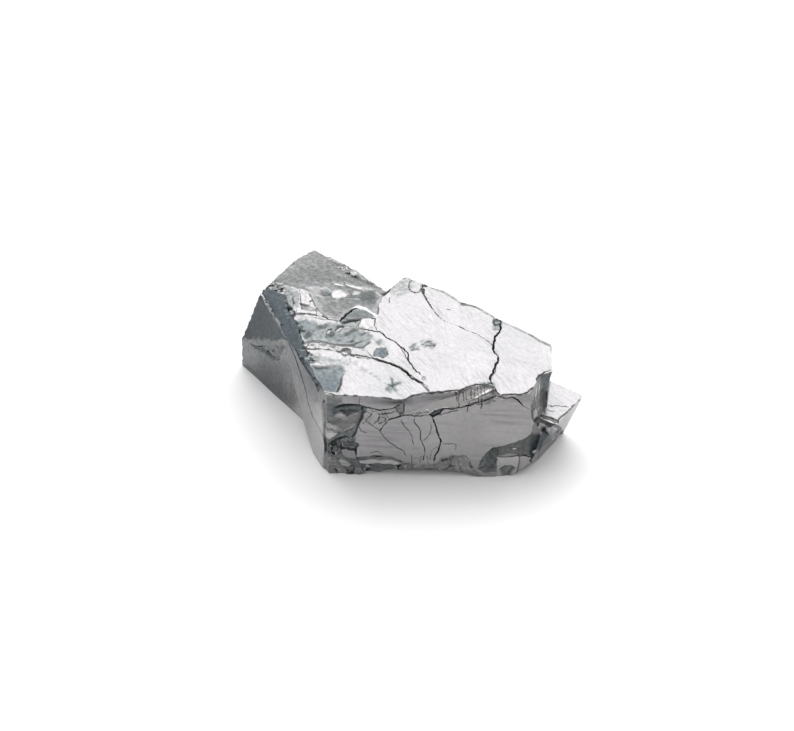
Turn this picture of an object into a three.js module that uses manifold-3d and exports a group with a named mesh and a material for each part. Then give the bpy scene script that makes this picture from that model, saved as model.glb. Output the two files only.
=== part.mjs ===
// A broken piece of noble shungite: one solid of natural, nearly pure carbon, about 46 mm long.
// A block is cleaved along flat planes, then flakes, shell-shaped scars and cracks are cut from it.
// Millimetres, +Z up. The rock's front faces -Y and it rests on its flat underside at z = 0.

import * as THREE from 'three';
import { ConvexGeometry } from 'three/addons/geometries/ConvexGeometry.js';
import { mergeVertices } from 'three/addons/utils/BufferGeometryUtils.js';
import Module from 'manifold-3d';

const wasm = await Module();
wasm.setup();

// ---------------------------------------------------------------- driving dimensions

const BLOCK = [60, 60, 16];      // the rough block that is cleaved, standing on z = 0
const CLEAVER = 160;             // side of the box that stands for everything beyond a plane
const CORE = [0, 0, 6];          // a point that stays inside through every cleave
const SHELL_DETAIL = 7;          // facets along each edge of a scar's icosahedron

const TOP_HEIGHT = 13.2;         // the top facet's height at y = 0
const TOP_RISE = 0.06;           // its climb towards the back, per mm
const FRONT_Y = -15.1;           // the front facet's foot
const FRONT_LEAN = 0.165;        // its lean towards the back, per mm of height
const SHELF_HEIGHT = 7.5;        // the low step at the right end

const onTop = (x, y, lift = 0) => [x, y, TOP_HEIGHT + TOP_RISE * y + lift];
const onFront = (x, z, lift = 0) => [x, FRONT_Y + FRONT_LEAN * z - lift, z];

// Corners where the main facets meet.
const leftFoot = [-21.6, 7.3, 0];
const leftShoulder = [-21.4, 6.9, 4.6];
const leftPeak = [-18.4, 6.8, 12.6];
const leftBrow = [-14.2, -2.1, 11.9];
const bandFoot = [-12.6, -4.2, 0];
const frontLeftFoot = [-10.4, -12.8, 0];
const frontLeftHeel = [-9.3, -13.9, 1.5];
const frontLeftTop = [-8.9, -12.9, 12.3];
const bandCrease = [-13.6, -4.6, 7.2];
const lobeLeft = [-15.0, 13.4, 12.6];
const lobePeak = [-11.5, 18.5, 11.6];
const lobeBack = [-7.2, 15.9, 11.4];
const lobeNotch = [-1.2, 9.8, 11.0];
const platePeak = [1.1, 9.4, 13.8];
const plateShoulder = [5.3, 7.0, 13.6];
const plateEnd = [19.7, -4.3, 12.9];
const shelfTip = [24.0, -7.9, SHELF_HEIGHT];
const shelfFront = [20.5, -12.7, SHELF_HEIGHT];
const rightFoot = [17.3, -13.3, 0];

// ---------------------------------------------------------------- tools

// A closed three.js geometry as a manifold-3d solid.
function solid(geometry) {
  const bare = geometry.index ? geometry.toNonIndexed() : geometry.clone();
  bare.deleteAttribute('normal');
  bare.deleteAttribute('uv');
  const merged = mergeVertices(bare, 1e-4);
  return new wasm.Manifold(new wasm.Mesh({
    numProp: 3,
    vertProperties: new Float32Array(merged.attributes.position.array),
    triVerts: new Uint32Array(merged.index.array),
  }));
}

const vector = (point) => new THREE.Vector3(...point);
const hull = (points) => solid(new ConvexGeometry(points.map(vector)));

// A prism on an outline of x, y points, from a low to a high z. It can change to a second outline.
function flake(outline, low, high, second = outline, secondLow = high, secondHigh = high) {
  return hull([
    ...outline.flatMap(([x, y]) => [[x, y, low], [x, y, high]]),
    ...second.flatMap(([x, y]) => [[x, y, secondLow], [x, y, secondHigh]]),
  ]);
}

// The rock without what lies beyond the plane through three corners, on the side away from CORE.
function cleave(rock, a, b, c) {
  const plane = new THREE.Plane().setFromCoplanarPoints(vector(a), vector(b), vector(c));
  if (plane.distanceToPoint(vector(CORE)) > 0) plane.negate();
  const beyond = new THREE.BoxGeometry(CLEAVER, CLEAVER, CLEAVER).translate(0, 0, CLEAVER / 2);
  const turn = new THREE.Quaternion().setFromUnitVectors(new THREE.Vector3(0, 0, 1), plane.normal);
  beyond.applyQuaternion(turn);
  const foot = plane.projectPoint(new THREE.Vector3(), new THREE.Vector3());
  beyond.translate(foot.x, foot.y, foot.z);
  return rock.subtract(solid(beyond));
}

// The rock without a shell-shaped scar: an ellipsoid, turned about X, then Y, then Z, in degrees.
function scar(rock, { at, radii, turn = [0, 0, 0] }) {
  const shell = new THREE.IcosahedronGeometry(1, SHELL_DETAIL).scale(...radii);
  const angles = turn.map(THREE.MathUtils.degToRad);
  shell.applyMatrix4(new THREE.Matrix4().makeRotationFromEuler(new THREE.Euler(...angles, 'ZYX')));
  shell.translate(...at);
  return rock.subtract(solid(shell));
}

// The rock without a crack: a V-shaped groove along a line of points, which closes at both ends.
// place(u, v, lift) puts a point of the line on its facet, and lift raises it off that facet.
function crack(rock, line, place, width, depth) {
  const ABOVE = 0.6;
  const half = line.map((_, i) => (i === 0 || i === line.length - 1 ? 0.12 : 0.5) * width);
  const side = line.map((_, i) => {
    const [u0, v0] = line[Math.max(i - 1, 0)];
    const [u1, v1] = line[Math.min(i + 1, line.length - 1)];
    const length = Math.hypot(u1 - u0, v1 - v0);
    return [(v0 - v1) / length, (u1 - u0) / length];
  });
  const section = (i) => {
    const [u, v] = line[i];
    const [su, sv] = side[i];
    const open = half[i] * (1 + ABOVE / depth);
    return [
      place(u + su * open, v + sv * open, ABOVE),
      place(u - su * open, v - sv * open, ABOVE),
      place(u, v, -depth * (half[i] / (0.5 * width))),
    ];
  };
  for (let i = 0; i + 1 < line.length; i += 1) {
    rock = rock.subtract(hull([...section(i), ...section(i + 1)]));
  }
  return rock;
}

// The rock with one region of a facet lowered: everything above a floor of points is cut off.
function lower(rock, floor, depth, place) {
  const ABOVE = 4;
  const shape = new THREE.Shape(floor.map(([u, v]) => new THREE.Vector2(u, v)));
  const slab = new THREE.ExtrudeGeometry(shape, { depth: 1, bevelEnabled: false });
  const position = slab.attributes.position;
  for (let i = 0; i < position.count; i += 1) {
    const lift = position.getZ(i) > 0.5 ? ABOVE : -depth;
    position.setXYZ(i, ...place(position.getX(i), position.getY(i), lift));
  }
  return rock.subtract(solid(slab));
}

// The rock without the crumbs that the cuts have left loose.
function largestPiece(rock) {
  const pieces = rock.decompose();
  return pieces.reduce((a, b) => (a.volume() > b.volume() ? a : b));
}

// ---------------------------------------------------------------- the block and its facets

const cleaveAll = (rock, facets) => facets.reduce((rest, corners) => cleave(rest, ...corners), rock);

// The block has two parts at its left end, a front left band and a wing behind it, which meet
// in a long re-entrant crease. Each is cleaved by its own facets.
function cleavedBlock() {
  const [x, y, z] = BLOCK;
  const block = cleaveAll(solid(new THREE.BoxGeometry(x, y, z).translate(0, 0, z / 2)), [
    [onTop(0, 0), onTop(10, 0), onTop(0, 10)],               // top
    [onFront(0, 0), onFront(10, 0), onFront(0, 10)],         // front
    [leftPeak, frontLeftTop, onTop(-7.5, 0)],                // left slope of the top
    [leftShoulder, leftPeak, lobeLeft],                      // back left, upper
    [leftFoot, leftShoulder, [-13.5, 16.8, 8]],              // back left, lower
    [plateShoulder, plateEnd, shelfTip],                     // back
    [lobePeak, lobeBack, [-7.0, 16.2, 6]],                   // back of the lobe
    [[-13, 17, 3.2], [3, 9.4, 3.4], [-4, 10.8, 0]],          // undercut back
    [shelfTip, shelfFront, rightFoot],                       // undercut right end
  ]);
  const band = cleaveAll(block, [
    [leftPeak, frontLeftTop, frontLeftHeel],                 // upper facet
    [bandCrease, bandFoot, frontLeftFoot],                   // undercut foot
  ]);
  const wing = cleaveAll(block, [
    [leftFoot, bandFoot, [-16.0, 0.2, 6.6]],                 // lower facet
    [leftShoulder, leftPeak, leftBrow],                      // chamfer
  ]);
  return band.add(wing);
}

// The strip along the top of the front leans back further than the facet below it.
function cutStrip(rock) {
  const [x0, x1] = [0.4, 14.5];
  const below = [onFront(x0, 9.0), onFront(5.6, 10.0), onFront(x1, 12.2)];
  const above = [onTop(x0, -13.3), onTop(9.6, -11.7), onTop(x1, -12.9)];
  return rock.subtract(hull([
    ...below, ...above,
    ...below.map(([x, y, z]) => [x, y - 3, z]),
    ...above.map(([x, y, z]) => [x, y - 1, z + 3]),
  ]));
}

// The notch behind the plate's peak, where two flakes have come off the back edge.
function cutNotch(rock) {
  const peak = platePeak.slice(0, 2);
  const notch = [peak, lobeNotch.slice(0, 2), lobeBack.slice(0, 2), [-4, 24], [1.1, 20]];
  const shoulder = [peak, plateShoulder.slice(0, 2), [12, 8], [12, 20], [1.1, 20]];
  return rock.subtract(flake(notch, -1, 20)).subtract(flake(shoulder, -1, 20));
}

// The low step at the right end: the rock above the shelf and beyond the plate's end is cut off,
// and a bite is taken from the plate's front corner.
function cutShelf(rock) {
  const brow = 12.8;
  const endFoot = [[20.6, -1], [19.2, -10.2], [30, -10.2], [30, -1]];
  const endBrow = [[19.85, -1], [19.55, -9.2], [30, -9.2], [30, -1]];
  const biteFoot = [[19.4, -9.4], [18.4, -11.8], [17.4, -16], [30, -16], [30, -9.4]];
  const biteBrow = [[19.4, -8.8], [17.9, -9.7], [17.2, -11.6], [14.9, -16], [30, -16], [30, -8.8]];
  return rock
    .subtract(flake(endFoot, SHELF_HEIGHT, SHELF_HEIGHT, endBrow, brow, 20))
    .subtract(flake(biteFoot, SHELF_HEIGHT, SHELF_HEIGHT, biteBrow, brow, 20));
}

// The lobe at the back left lies lower than the plates in front of it and beside it, and rises
// to them over a slope. The cut is the space above it.
function cutLobe(rock) {
  const far = 14;
  const floor = [
    [-18.8, 10.0, 13.1], [-13.0, 8.4, 12.6], [-8.5, 7.2, 12.1], [-4.2, 7.4, 11.6], lobeNotch,
    [0, far, 10.5], [-6, 2 * far, 10.2], [-24, far, 13.6],
  ];
  const rim = [[-19.4, 8.6], [-13.0, 6.4], [-8.5, 4.9], [-4.2, 4.0], [-1.9, 5.6], [1.1, 9.4], [5, far]];
  return rock.subtract(hull([
    ...floor,
    ...rim.map(([x, y]) => onTop(x, y, 0.05)),
    ...rim.map(([x, y]) => onTop(x + 0.1, y - 0.6, 3)),
    [-6, 2 * far, 18],
    [-26, far, 18],
  ]));
}

function cutScars(rock) {
  const scars = [
    // the basin between the lobe and the plate, and the hollows in front of it
    { at: [-7.2, 5.8, 17.4], radii: [5.6, 6.0, 5.4] },
    { at: [-4.4, 2.0, 15.4], radii: [3.2, 2.6, 2.8], turn: [0, 0, 14] },
    { at: [-9.6, -0.6, 15.0], radii: [5.2, 2.8, 2.5], turn: [0, -6, -8] },
    { at: [-14.4, 3.8, 15.4], radii: [3.2, 2.4, 2.6], turn: [0, -10, -50] },
    // the glassy scoop at the front right, which rises to the shelf
    { at: [17.2, -16.0, 4.8], radii: [6.6, 3.6, 2.9], turn: [0, -24, 0] },
    { at: [12.0, -16.4, 2.2], radii: [3.0, 2.2, 1.9], turn: [0, -35, 0] },
    { at: [18.4, -14.4, 10.4], radii: [1.8, 2.4, 3.4] },
    // a ledge broken out below the left chamfer
    { at: [-17.8, 0.9, 7.2], radii: [3.4, 1.9, 1.4], turn: [0, -31, -50] },
    // shells broken from the front left corner
    { at: [-7.0, -15.6, 8.6], radii: [3.0, 2.4, 2.9], turn: [0, 25, 0] },
    { at: [-8.4, -16.0, 5.0], radii: [2.6, 2.2, 2.2], turn: [0, -20, 0] },
    { at: [-7.0, -16.4, 1.6], radii: [3.4, 2.3, 1.9], turn: [0, 12, 0] },
    { at: [-10.9, -14.8, 1.2], radii: [1.5, 1.9, 2.4] },
    // the hollow under the front edge
    { at: [2.8, -15.9, -0.9], radii: [9.0, 2.4, 2.2] },
    // broad shells on the back, which run off its lower edge
    { at: [14.8, 13.3, 2.0], radii: [12, 12, 8.5] },
    { at: [-25.0, 17.6, 1.5], radii: [10.2, 10.2, 7] },
  ];
  for (const shell of scars) rock = scar(rock, shell);
  return rock;
}

// ---------------------------------------------------------------- plates and cracks

// Lines along which the plates on the top have parted, as x, y on the top facet.
const frontLedge = [[-14.0, -3.0], [-11.2, -3.4], [-8.2, -4.8], [-6.0, -4.9]];
const topCracks = {
  backStrip: [[3.6, 7.6], [3.8, 5.1], [5.1, 1.9], [5.8, 0.7], [8.3, -1.1], [10.7, -2.3], [12.4, -4.2]],
  endPlate: [[13.6, 1.2], [13.1, -1.4], [12.4, -3.3], [12.4, -4.3], [13.2, -5.8], [12.5, -7.7], [11.9, -10.3],
    [11.6, -11.2], [12.0, -13.2]],
  basinRim: [[-3.8, -1.3], [-2.2, -2.0], [-0.2, -3.8], [1.2, -5.5], [1.2, -6.6], [2.5, -9.1], [3.6, -10.5]],
  frontPlate: [[-3.6, -6.6], [-1.0, -7.6], [0.3, -8.2], [1.7, -9.9], [3.0, -11.1]],
};
// Lines on the front facet, as x, z.
const frontCracks = {
  underEdge: [[-4.6, 10.6], [-3.1, 9.7], [-0.6, 9.6], [0.9, 9.1], [4.2, 9.2], [5.6, 10.0], [10.2, 10.9],
    [12.6, 11.8]],
  middle: [[4.2, 9.1], [4.8, 7.6], [5.4, 5.3], [5.5, 4.4], [4.7, 2.2]],
};
const TOP_CRACK = { width: 0.45, depth: 0.6 };
const FRONT_CRACK = { width: 0.4, depth: 0.45 };
const END_PLATE_DROP = 0.25;
const BACK_STRIP_DROP = 0.2;
const FRONT_PLATE_DROP = 0.3;

function lowerPlates(rock) {
  const { backStrip, endPlate, frontPlate } = topCracks;
  rock = lower(rock, [...endPlate, [12, -20], [26, -20], [26, 4]], END_PLATE_DROP, onTop);
  rock = lower(rock, [...backStrip, ...endPlate.slice(0, 3).reverse(), [12, 8], [6, 14]], BACK_STRIP_DROP, onTop);
  return lower(rock, [...frontLedge, ...frontPlate, [3.6, -18], [-14, -18]], FRONT_PLATE_DROP, onTop);
}

function cutCracks(rock) {
  for (const line of Object.values(topCracks)) {
    rock = crack(rock, line, onTop, TOP_CRACK.width, TOP_CRACK.depth);
  }
  for (const line of Object.values(frontCracks)) {
    rock = crack(rock, line, onFront, FRONT_CRACK.width, FRONT_CRACK.depth);
  }
  return rock;
}

// ---------------------------------------------------------------- the rock

function shungite() {
  let rock = cleavedBlock();
  rock = cutNotch(rock);
  rock = cutShelf(rock);
  rock = cutStrip(rock);
  rock = cutLobe(rock);
  rock = lowerPlates(rock);
  rock = cutScars(rock);
  rock = cutCracks(rock);
  return largestPiece(rock);
}

// A solid's surface as a flat-shaded three.js geometry, moved so that it stands over the origin.
function geometryOf(rock) {
  const { vertProperties, triVerts } = rock.getMesh();
  const geometry = new THREE.BufferGeometry()
    .setAttribute('position', new THREE.BufferAttribute(vertProperties, 3))
    .setIndex(new THREE.BufferAttribute(triVerts, 1));
  geometry.computeBoundingBox();
  const middle = geometry.boundingBox.getCenter(new THREE.Vector3());
  return geometry.translate(-middle.x, -middle.y, -geometry.boundingBox.min.z);
}

const graphite = new THREE.MeshStandardMaterial({ color: 0x8f9196, roughness: 0.3, metalness: 0.9 });
graphite.flatShading = true;
const rock = new THREE.Mesh(geometryOf(shungite()), graphite);
rock.name = 'shungite_rock';

const part = new THREE.Group();
part.add(rock);
export default part;
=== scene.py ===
"""A broken piece of noble shungite on a pale floor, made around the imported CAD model.

The CAD solid holds the rock's main facets, scars and cracks. This script refines a copy of its
surface and works the fine relief into it: jagged edges, chips, ledges, hairline cracks and ripples.
Measures are millimetres in the rock's drawing frame, which lies beside the CAD frame by SHIFT.
"""

import math

import bmesh
import bpy
import numpy as np
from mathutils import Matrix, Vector
from mathutils.bvhtree import BVHTree


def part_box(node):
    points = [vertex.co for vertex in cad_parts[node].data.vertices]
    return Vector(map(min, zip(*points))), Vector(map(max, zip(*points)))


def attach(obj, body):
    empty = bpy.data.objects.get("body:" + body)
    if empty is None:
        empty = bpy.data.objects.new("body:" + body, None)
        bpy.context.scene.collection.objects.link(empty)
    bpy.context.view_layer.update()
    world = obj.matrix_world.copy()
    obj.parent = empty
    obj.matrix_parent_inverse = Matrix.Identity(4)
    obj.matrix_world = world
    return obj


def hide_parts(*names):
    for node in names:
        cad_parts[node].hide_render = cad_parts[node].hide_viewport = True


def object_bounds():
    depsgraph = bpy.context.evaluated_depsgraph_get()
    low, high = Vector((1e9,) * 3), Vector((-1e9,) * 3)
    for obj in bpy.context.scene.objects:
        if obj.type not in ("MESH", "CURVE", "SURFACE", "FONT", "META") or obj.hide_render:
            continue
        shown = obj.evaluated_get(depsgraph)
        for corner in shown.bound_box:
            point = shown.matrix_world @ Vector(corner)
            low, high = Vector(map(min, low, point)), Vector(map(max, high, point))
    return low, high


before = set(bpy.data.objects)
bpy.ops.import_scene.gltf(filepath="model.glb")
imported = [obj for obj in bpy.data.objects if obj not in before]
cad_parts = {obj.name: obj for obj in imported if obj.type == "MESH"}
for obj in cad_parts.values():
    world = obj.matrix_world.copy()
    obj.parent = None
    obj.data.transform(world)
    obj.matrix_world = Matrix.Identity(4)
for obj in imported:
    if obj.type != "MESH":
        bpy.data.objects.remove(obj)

CAD_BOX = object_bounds()
MM = 0.001
NODE = "shungite_rock"

# The drawing frame's leftmost and foremost points, which the CAD box gives in the CAD frame.
LEFTMOST_X = -21.6
FOREMOST_Y = -15.1
NODE_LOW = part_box(NODE)[0] / MM
SHIFT = np.array([LEFTMOST_X - NODE_LOW.x, FOREMOST_Y - NODE_LOW.y, 0.0])

SEED = 7
RNG = np.random.default_rng(SEED)


# ---------------------------------------------------------------- the camera

IMAGE_WIDTH, IMAGE_HEIGHT = 794, 731
LENS = 70.0
SENSOR = 36.0
FOCAL_PX = IMAGE_WIDTH * LENS / SENSOR
CAMERA_ELEVATION = math.radians(40)
CAMERA_DISTANCE = 205.85
CLIP_START = 0.01
CAMERA_TARGET = np.array([0.0, 0.0, 6.0])
CAMERA_FORWARD = np.array([0.0, math.cos(CAMERA_ELEVATION), -math.sin(CAMERA_ELEVATION)])
CAMERA_RIGHT = np.array([1.0, 0.0, 0.0])
CAMERA_UP = np.cross(CAMERA_RIGHT, CAMERA_FORWARD)
CAMERA_PLACE = CAMERA_TARGET - CAMERA_DISTANCE * CAMERA_FORWARD


def pixel_ray(px, py):
    """The direction in which the camera sees a pixel of the 794 x 731 frame."""
    across = (px - IMAGE_WIDTH / 2) / FOCAL_PX
    up = (IMAGE_HEIGHT / 2 - py) / FOCAL_PX
    return CAMERA_FORWARD + across * CAMERA_RIGHT + up * CAMERA_UP


def make_camera():
    data = bpy.data.cameras.new("camera")
    data.lens = LENS
    data.sensor_width = SENSOR
    data.clip_start = CLIP_START
    camera = bpy.data.objects.new("camera", data)
    bpy.context.scene.collection.objects.link(camera)
    camera.location = Vector((CAMERA_PLACE - SHIFT) * MM)
    camera.rotation_euler = (math.pi / 2 - CAMERA_ELEVATION, 0, 0)
    bpy.context.scene.camera = camera


# ---------------------------------------------------------------- charts of the facets

class Chart:
    """A facet's plane, with two measures along it, u to the camera's right and v, and the height."""

    def __init__(self, origin, outward):
        self.origin = np.array(origin, float)
        self.n = np.array(outward, float)
        self.n /= np.linalg.norm(self.n)
        self.u = CAMERA_RIGHT - self.n * (CAMERA_RIGHT @ self.n)
        self.u /= np.linalg.norm(self.u)
        self.v = np.cross(self.n, self.u)

    def read(self, points):
        d = points - self.origin
        return d @ self.u, d @ self.v, d @ self.n

    def place(self, uv, height=0.0):
        uv = np.atleast_2d(uv)
        return self.origin + uv[:, :1] * self.u + uv[:, 1:] * self.v + height * self.n

    def seen(self, pixels, height=0.0):
        """The u and v of the points at a height over this plane that the camera sees at pixels."""
        found = []
        for px, py in pixels:
            ray = pixel_ray(px, py)
            t = (np.dot(self.origin - CAMERA_PLACE, self.n) + height) / np.dot(ray, self.n)
            u, v, _ = self.read(CAMERA_PLACE + t * ray)
            found.append((u, v))
        return np.array(found)

    def spot(self, pixel, height=0.0):
        """The place at a height over the point of this plane that the camera sees at a pixel."""
        return self.place(self.seen([pixel]), height)[0]


TOP_HEIGHT = 13.2
TOP_RISE = 0.06
FRONT_LEAN = 0.165
SHELF_HEIGHT = 7.5
TOP = Chart((0, 0, TOP_HEIGHT), (0, -TOP_RISE, 1))
FRONT = Chart((0, FOREMOST_Y, 0), (0, -1, FRONT_LEAN))
SHELF = Chart((0, 0, SHELF_HEIGHT), (0, 0, 1))


def plane_through(*corners):
    """The chart of the plane through three corners, facing away from what lies at the rock's middle."""
    a, b, c = (np.array(corner, float) for corner in corners)
    normal = np.cross(b - a, c - a)
    if normal @ (CAMERA_TARGET - a) > 0:
        normal = -normal
    return Chart(a, normal)


def top_line(points_xy):
    """x and y of the drawing frame as u and v of the top facet."""
    xyz = np.array([(x, y, TOP_HEIGHT + TOP_RISE * y) for x, y in points_xy])
    return np.stack(TOP.read(xyz)[:2], 1)


def front_line(points_xz):
    """x and z of the drawing frame as u and v of the front facet."""
    xyz = np.array([(x, FOREMOST_Y + FRONT_LEAN * z, z) for x, z in points_xz])
    return np.stack(FRONT.read(xyz)[:2], 1)


# ---------------------------------------------------------------- the CAD surface

def turned(degrees):
    """The matrix that turns about X, then Y, then Z."""
    x, y, z = np.radians(degrees)
    rx = np.array([[1, 0, 0], [0, math.cos(x), -math.sin(x)], [0, math.sin(x), math.cos(x)]])
    ry = np.array([[math.cos(y), 0, math.sin(y)], [0, 1, 0], [-math.sin(y), 0, math.cos(y)]])
    rz = np.array([[math.cos(z), -math.sin(z), 0], [math.sin(z), math.cos(z), 0], [0, 0, 1]])
    return rz @ ry @ rx


# The CAD solid's cracks, which are healed here so that finer ones can be cut.
CAD_TOP_CRACKS = [
    [(3.6, 7.6), (3.8, 5.1), (5.1, 1.9), (5.8, 0.7), (8.3, -1.1), (10.7, -2.3), (12.4, -4.2)],
    [(13.6, 1.2), (13.1, -1.4), (12.4, -3.3), (12.4, -4.3), (13.2, -5.8), (12.5, -7.7), (11.9, -10.3),
     (11.6, -11.2), (12.0, -13.2)],
    [(-3.8, -1.3), (-2.2, -2.0), (-0.2, -3.8), (1.2, -5.5), (1.2, -6.6), (2.5, -9.1), (3.6, -10.5)],
    [(-3.6, -6.6), (-1.0, -7.6), (0.3, -8.2), (1.7, -9.9), (3.0, -11.1)],
]
CAD_FRONT_CRACKS = [
    [(-4.6, 10.6), (-3.1, 9.7), (-0.6, 9.6), (0.9, 9.1), (4.2, 9.2), (5.6, 10.0), (10.2, 10.9),
     (12.6, 11.8)],
    [(4.2, 9.1), (4.8, 7.6), (5.4, 5.3), (5.5, 4.4), (4.7, 2.2)],
]
LEFT_PEAK = (-18.4, 6.8, 12.6)
LEFT_SHOULDER = (-21.4, 6.9, 4.6)
BAND_PLANE = plane_through(LEFT_PEAK, (-8.9, -12.9, 12.3), (-9.3, -13.9, 1.5))
BAND_FOOT_PLANE = plane_through((-13.6, -4.6, 7.2), (-12.6, -4.2, 0), (-10.4, -12.8, 0))
LEFT_PLANE = plane_through((-21.6, 7.3, 0), (-12.6, -4.2, 0), (-16.0, 0.2, 6.6))
CHAMFER_PLANE = plane_through(LEFT_SHOULDER, LEFT_PEAK, (-14.2, -2.1, 11.9))
CORNER_PLANES = [FRONT, BAND_PLANE, BAND_FOOT_PLANE]
RIGHT_PLANE = plane_through((24.0, -7.9, SHELF_HEIGHT), (20.5, -12.7, SHELF_HEIGHT), (17.3, -13.3, 0))
# The CAD solid's scars that are filled again up to their facets, to be recut in finer shapes:
# centre, radii, turn and facets.
HEALED_SCARS = [
    ((-7.2, 5.8, 17.4), (5.6, 6.0, 5.4), (0, 0, 0), [TOP]),
    ((-4.4, 2.0, 15.4), (3.2, 2.6, 2.8), (0, 0, 14), [TOP]),
    ((-9.6, -0.6, 15.0), (5.2, 2.8, 2.5), (0, -6, -8), [TOP]),
    ((-14.4, 3.8, 15.4), (3.2, 2.4, 2.6), (0, -10, -50), [TOP]),
    ((-17.8, 0.9, 7.2), (3.4, 1.9, 1.4), (0, -31, -50), [LEFT_PLANE, CHAMFER_PLANE]),
    ((17.2, -16.0, 4.8), (6.6, 3.6, 2.9), (0, -24, 0), [FRONT, RIGHT_PLANE, SHELF]),
    ((12.0, -16.4, 2.2), (3.0, 2.2, 1.9), (0, -35, 0), [FRONT]),
    ((-7.0, -15.6, 8.6), (3.0, 2.4, 2.9), (0, 25, 0), CORNER_PLANES),
    ((-8.4, -16.0, 5.0), (2.6, 2.2, 2.2), (0, -20, 0), CORNER_PLANES),
    ((-7.0, -16.4, 1.6), (3.4, 2.3, 1.9), (0, 12, 0), CORNER_PLANES),
    ((-10.9, -14.8, 1.2), (1.5, 1.9, 2.4), (0, 0, 0), CORNER_PLANES),
]
CAD_CRACK_REACH = 0.34
CAD_CRACK_DEPTH = 0.65
CAD_PLATE_DROP = 0.32
ON_SCAR = (0.95, 1.012)      # a point on a scar lies between these, in radii
LEVEL_WITH_TOP = 0.9995      # a plate's face and the top facet face this nearly the same way
SAME_PLACE = 1e-6            # metres
SAME_PLACE_HEALED = 0.08     # healing brings points of one crack or scar this close together
TOO_SHORT = 0.01             # an edge shorter than this goes
FLAT = math.radians(0.5)     # triangles that meet at less than this are one facet
SHARP = math.radians(25)     # a convex edge that bends more than this gets chips
TINY = 1e-12                 # keeps a division from one by nothing


def near_line(u, v, line, reach):
    """Which points lie within reach of a line, how far off, and where along it from 0 to 1."""
    low, high = line.min(0) - reach, line.max(0) + reach
    near = np.nonzero((u > low[0]) & (u < high[0]) & (v > low[1]) & (v < high[1]))[0]
    p = np.stack([u[near], v[near]], 1)
    best = np.full(len(near), np.inf)
    along = np.zeros(len(near))
    for i in range(len(line) - 1):
        a, step = line[i], line[i + 1] - line[i]
        size = max(math.hypot(*step), TINY)
        chosen = np.nonzero(np.abs(p - (a + step / 2)).max(1) < size / 2 + reach)[0]
        if not len(chosen):
            continue
        q = p[chosen] - a
        t = np.clip(q @ step / size ** 2, 0, 1)
        d = np.hypot(*(q - t[:, None] * step).T)
        closer = d < best[chosen]
        best[chosen[closer]] = d[closer]
        along[chosen[closer]] = (i + t[closer]) / (len(line) - 1)
    close = best < reach
    return near[close], best[close], along[close]


def distance_in_radii(points, at, radii, turn):
    """How far points lie from a turned ellipsoid's centre, against 1 for its surface."""
    return np.linalg.norm((points - np.array(at)) @ turned(turn) / np.array(radii), axis=1)


def healed(points, plates):
    """The points with the CAD solid's grooves and lowered plates raised back to their facets."""
    points = points.copy()
    for chart, lines in ((TOP, [top_line(c) for c in CAD_TOP_CRACKS]),
                         (FRONT, [front_line(c) for c in CAD_FRONT_CRACKS])):
        u, v, h = chart.read(points)
        sunk = np.zeros(len(points), bool)
        for line in lines:
            sunk[near_line(u, v, line, CAD_CRACK_REACH)[0]] = True
        sunk &= (h < 0) & (h > -CAD_CRACK_DEPTH)
        if chart is TOP:
            sunk |= plates & (h < 0) & (h > -CAD_PLATE_DROP)
        points -= np.where(sunk, h, 0)[:, None] * chart.n
    for at, radii, turn, charts in HEALED_SCARS:
        r = distance_in_radii(points, at, radii, turn)
        scarred = (r > ON_SCAR[0]) & (r < ON_SCAR[1])
        for chart in charts:
            rise = np.maximum(-chart.read(points)[2], 0)
            for bound in charts:
                facing = chart.n @ bound.n
                if bound is not chart and facing > 0:
                    rise = np.minimum(rise, np.maximum(-bound.read(points)[2], 0) / facing)
            points += np.where(scarred, rise, 0)[:, None] * chart.n
    return points


def cad_surface():
    """The healed CAD solid's points in the drawing frame, its triangles and its sharp edges."""
    bm = bmesh.new()
    bm.from_mesh(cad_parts[NODE].data)
    bmesh.ops.remove_doubles(bm, verts=bm.verts, dist=SAME_PLACE)
    top = Vector(TOP.n)
    plates = np.array([any(f.normal.dot(top) > LEVEL_WITH_TOP for f in v.link_faces) for v in bm.verts])
    points = healed(np.array([v.co for v in bm.verts]) / MM + SHIFT, plates)
    for vertex, point in zip(bm.verts, points):
        vertex.co = point
    bmesh.ops.remove_doubles(bm, verts=bm.verts, dist=SAME_PLACE_HEALED)
    bmesh.ops.dissolve_degenerate(bm, edges=bm.edges, dist=TOO_SHORT)
    bmesh.ops.dissolve_limit(bm, angle_limit=FLAT, verts=bm.verts, edges=bm.edges)
    bmesh.ops.triangulate(bm, faces=bm.faces)
    points = np.array([v.co for v in bm.verts])
    triangles = np.array([[v.index for v in f.verts] for f in bm.faces])
    edges = [([v.index for v in e.verts], [np.array(f.normal) for f in e.link_faces])
             for e in bm.edges if len(e.link_faces) == 2 and e.is_convex and e.calc_face_angle() > SHARP]
    bm.free()
    return points, triangles, edges


CAD_POINTS, CAD_TRIANGLES, CAD_EDGES = cad_surface()
CAD_TREE = BVHTree.FromPolygons(CAD_POINTS.tolist(), CAD_TRIANGLES.tolist())


def hit(pixel):
    """Where the camera's ray through a pixel meets the CAD surface, and its normal there."""
    at, normal, _, _ = CAD_TREE.ray_cast(Vector(CAMERA_PLACE), Vector(pixel_ray(*pixel)))
    return np.array(at), np.array(normal)


def facet_at(pixel):
    return Chart(*hit(pixel))


# ---------------------------------------------------------------- relief
# Each relief is a function that moves points by their place alone, so a point gets the same
# move whatever triangle it belongs to, and the surface stays closed.

def smooth(x):
    x = np.clip(x, 0, 1)
    return x * x * (3 - 2 * x)


def pushed(points, near, direction, distance):
    """The points, of which those numbered near are moved by their distances in a direction."""
    points = points.copy()
    points[near] += direction * distance[:, None]
    return points


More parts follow.
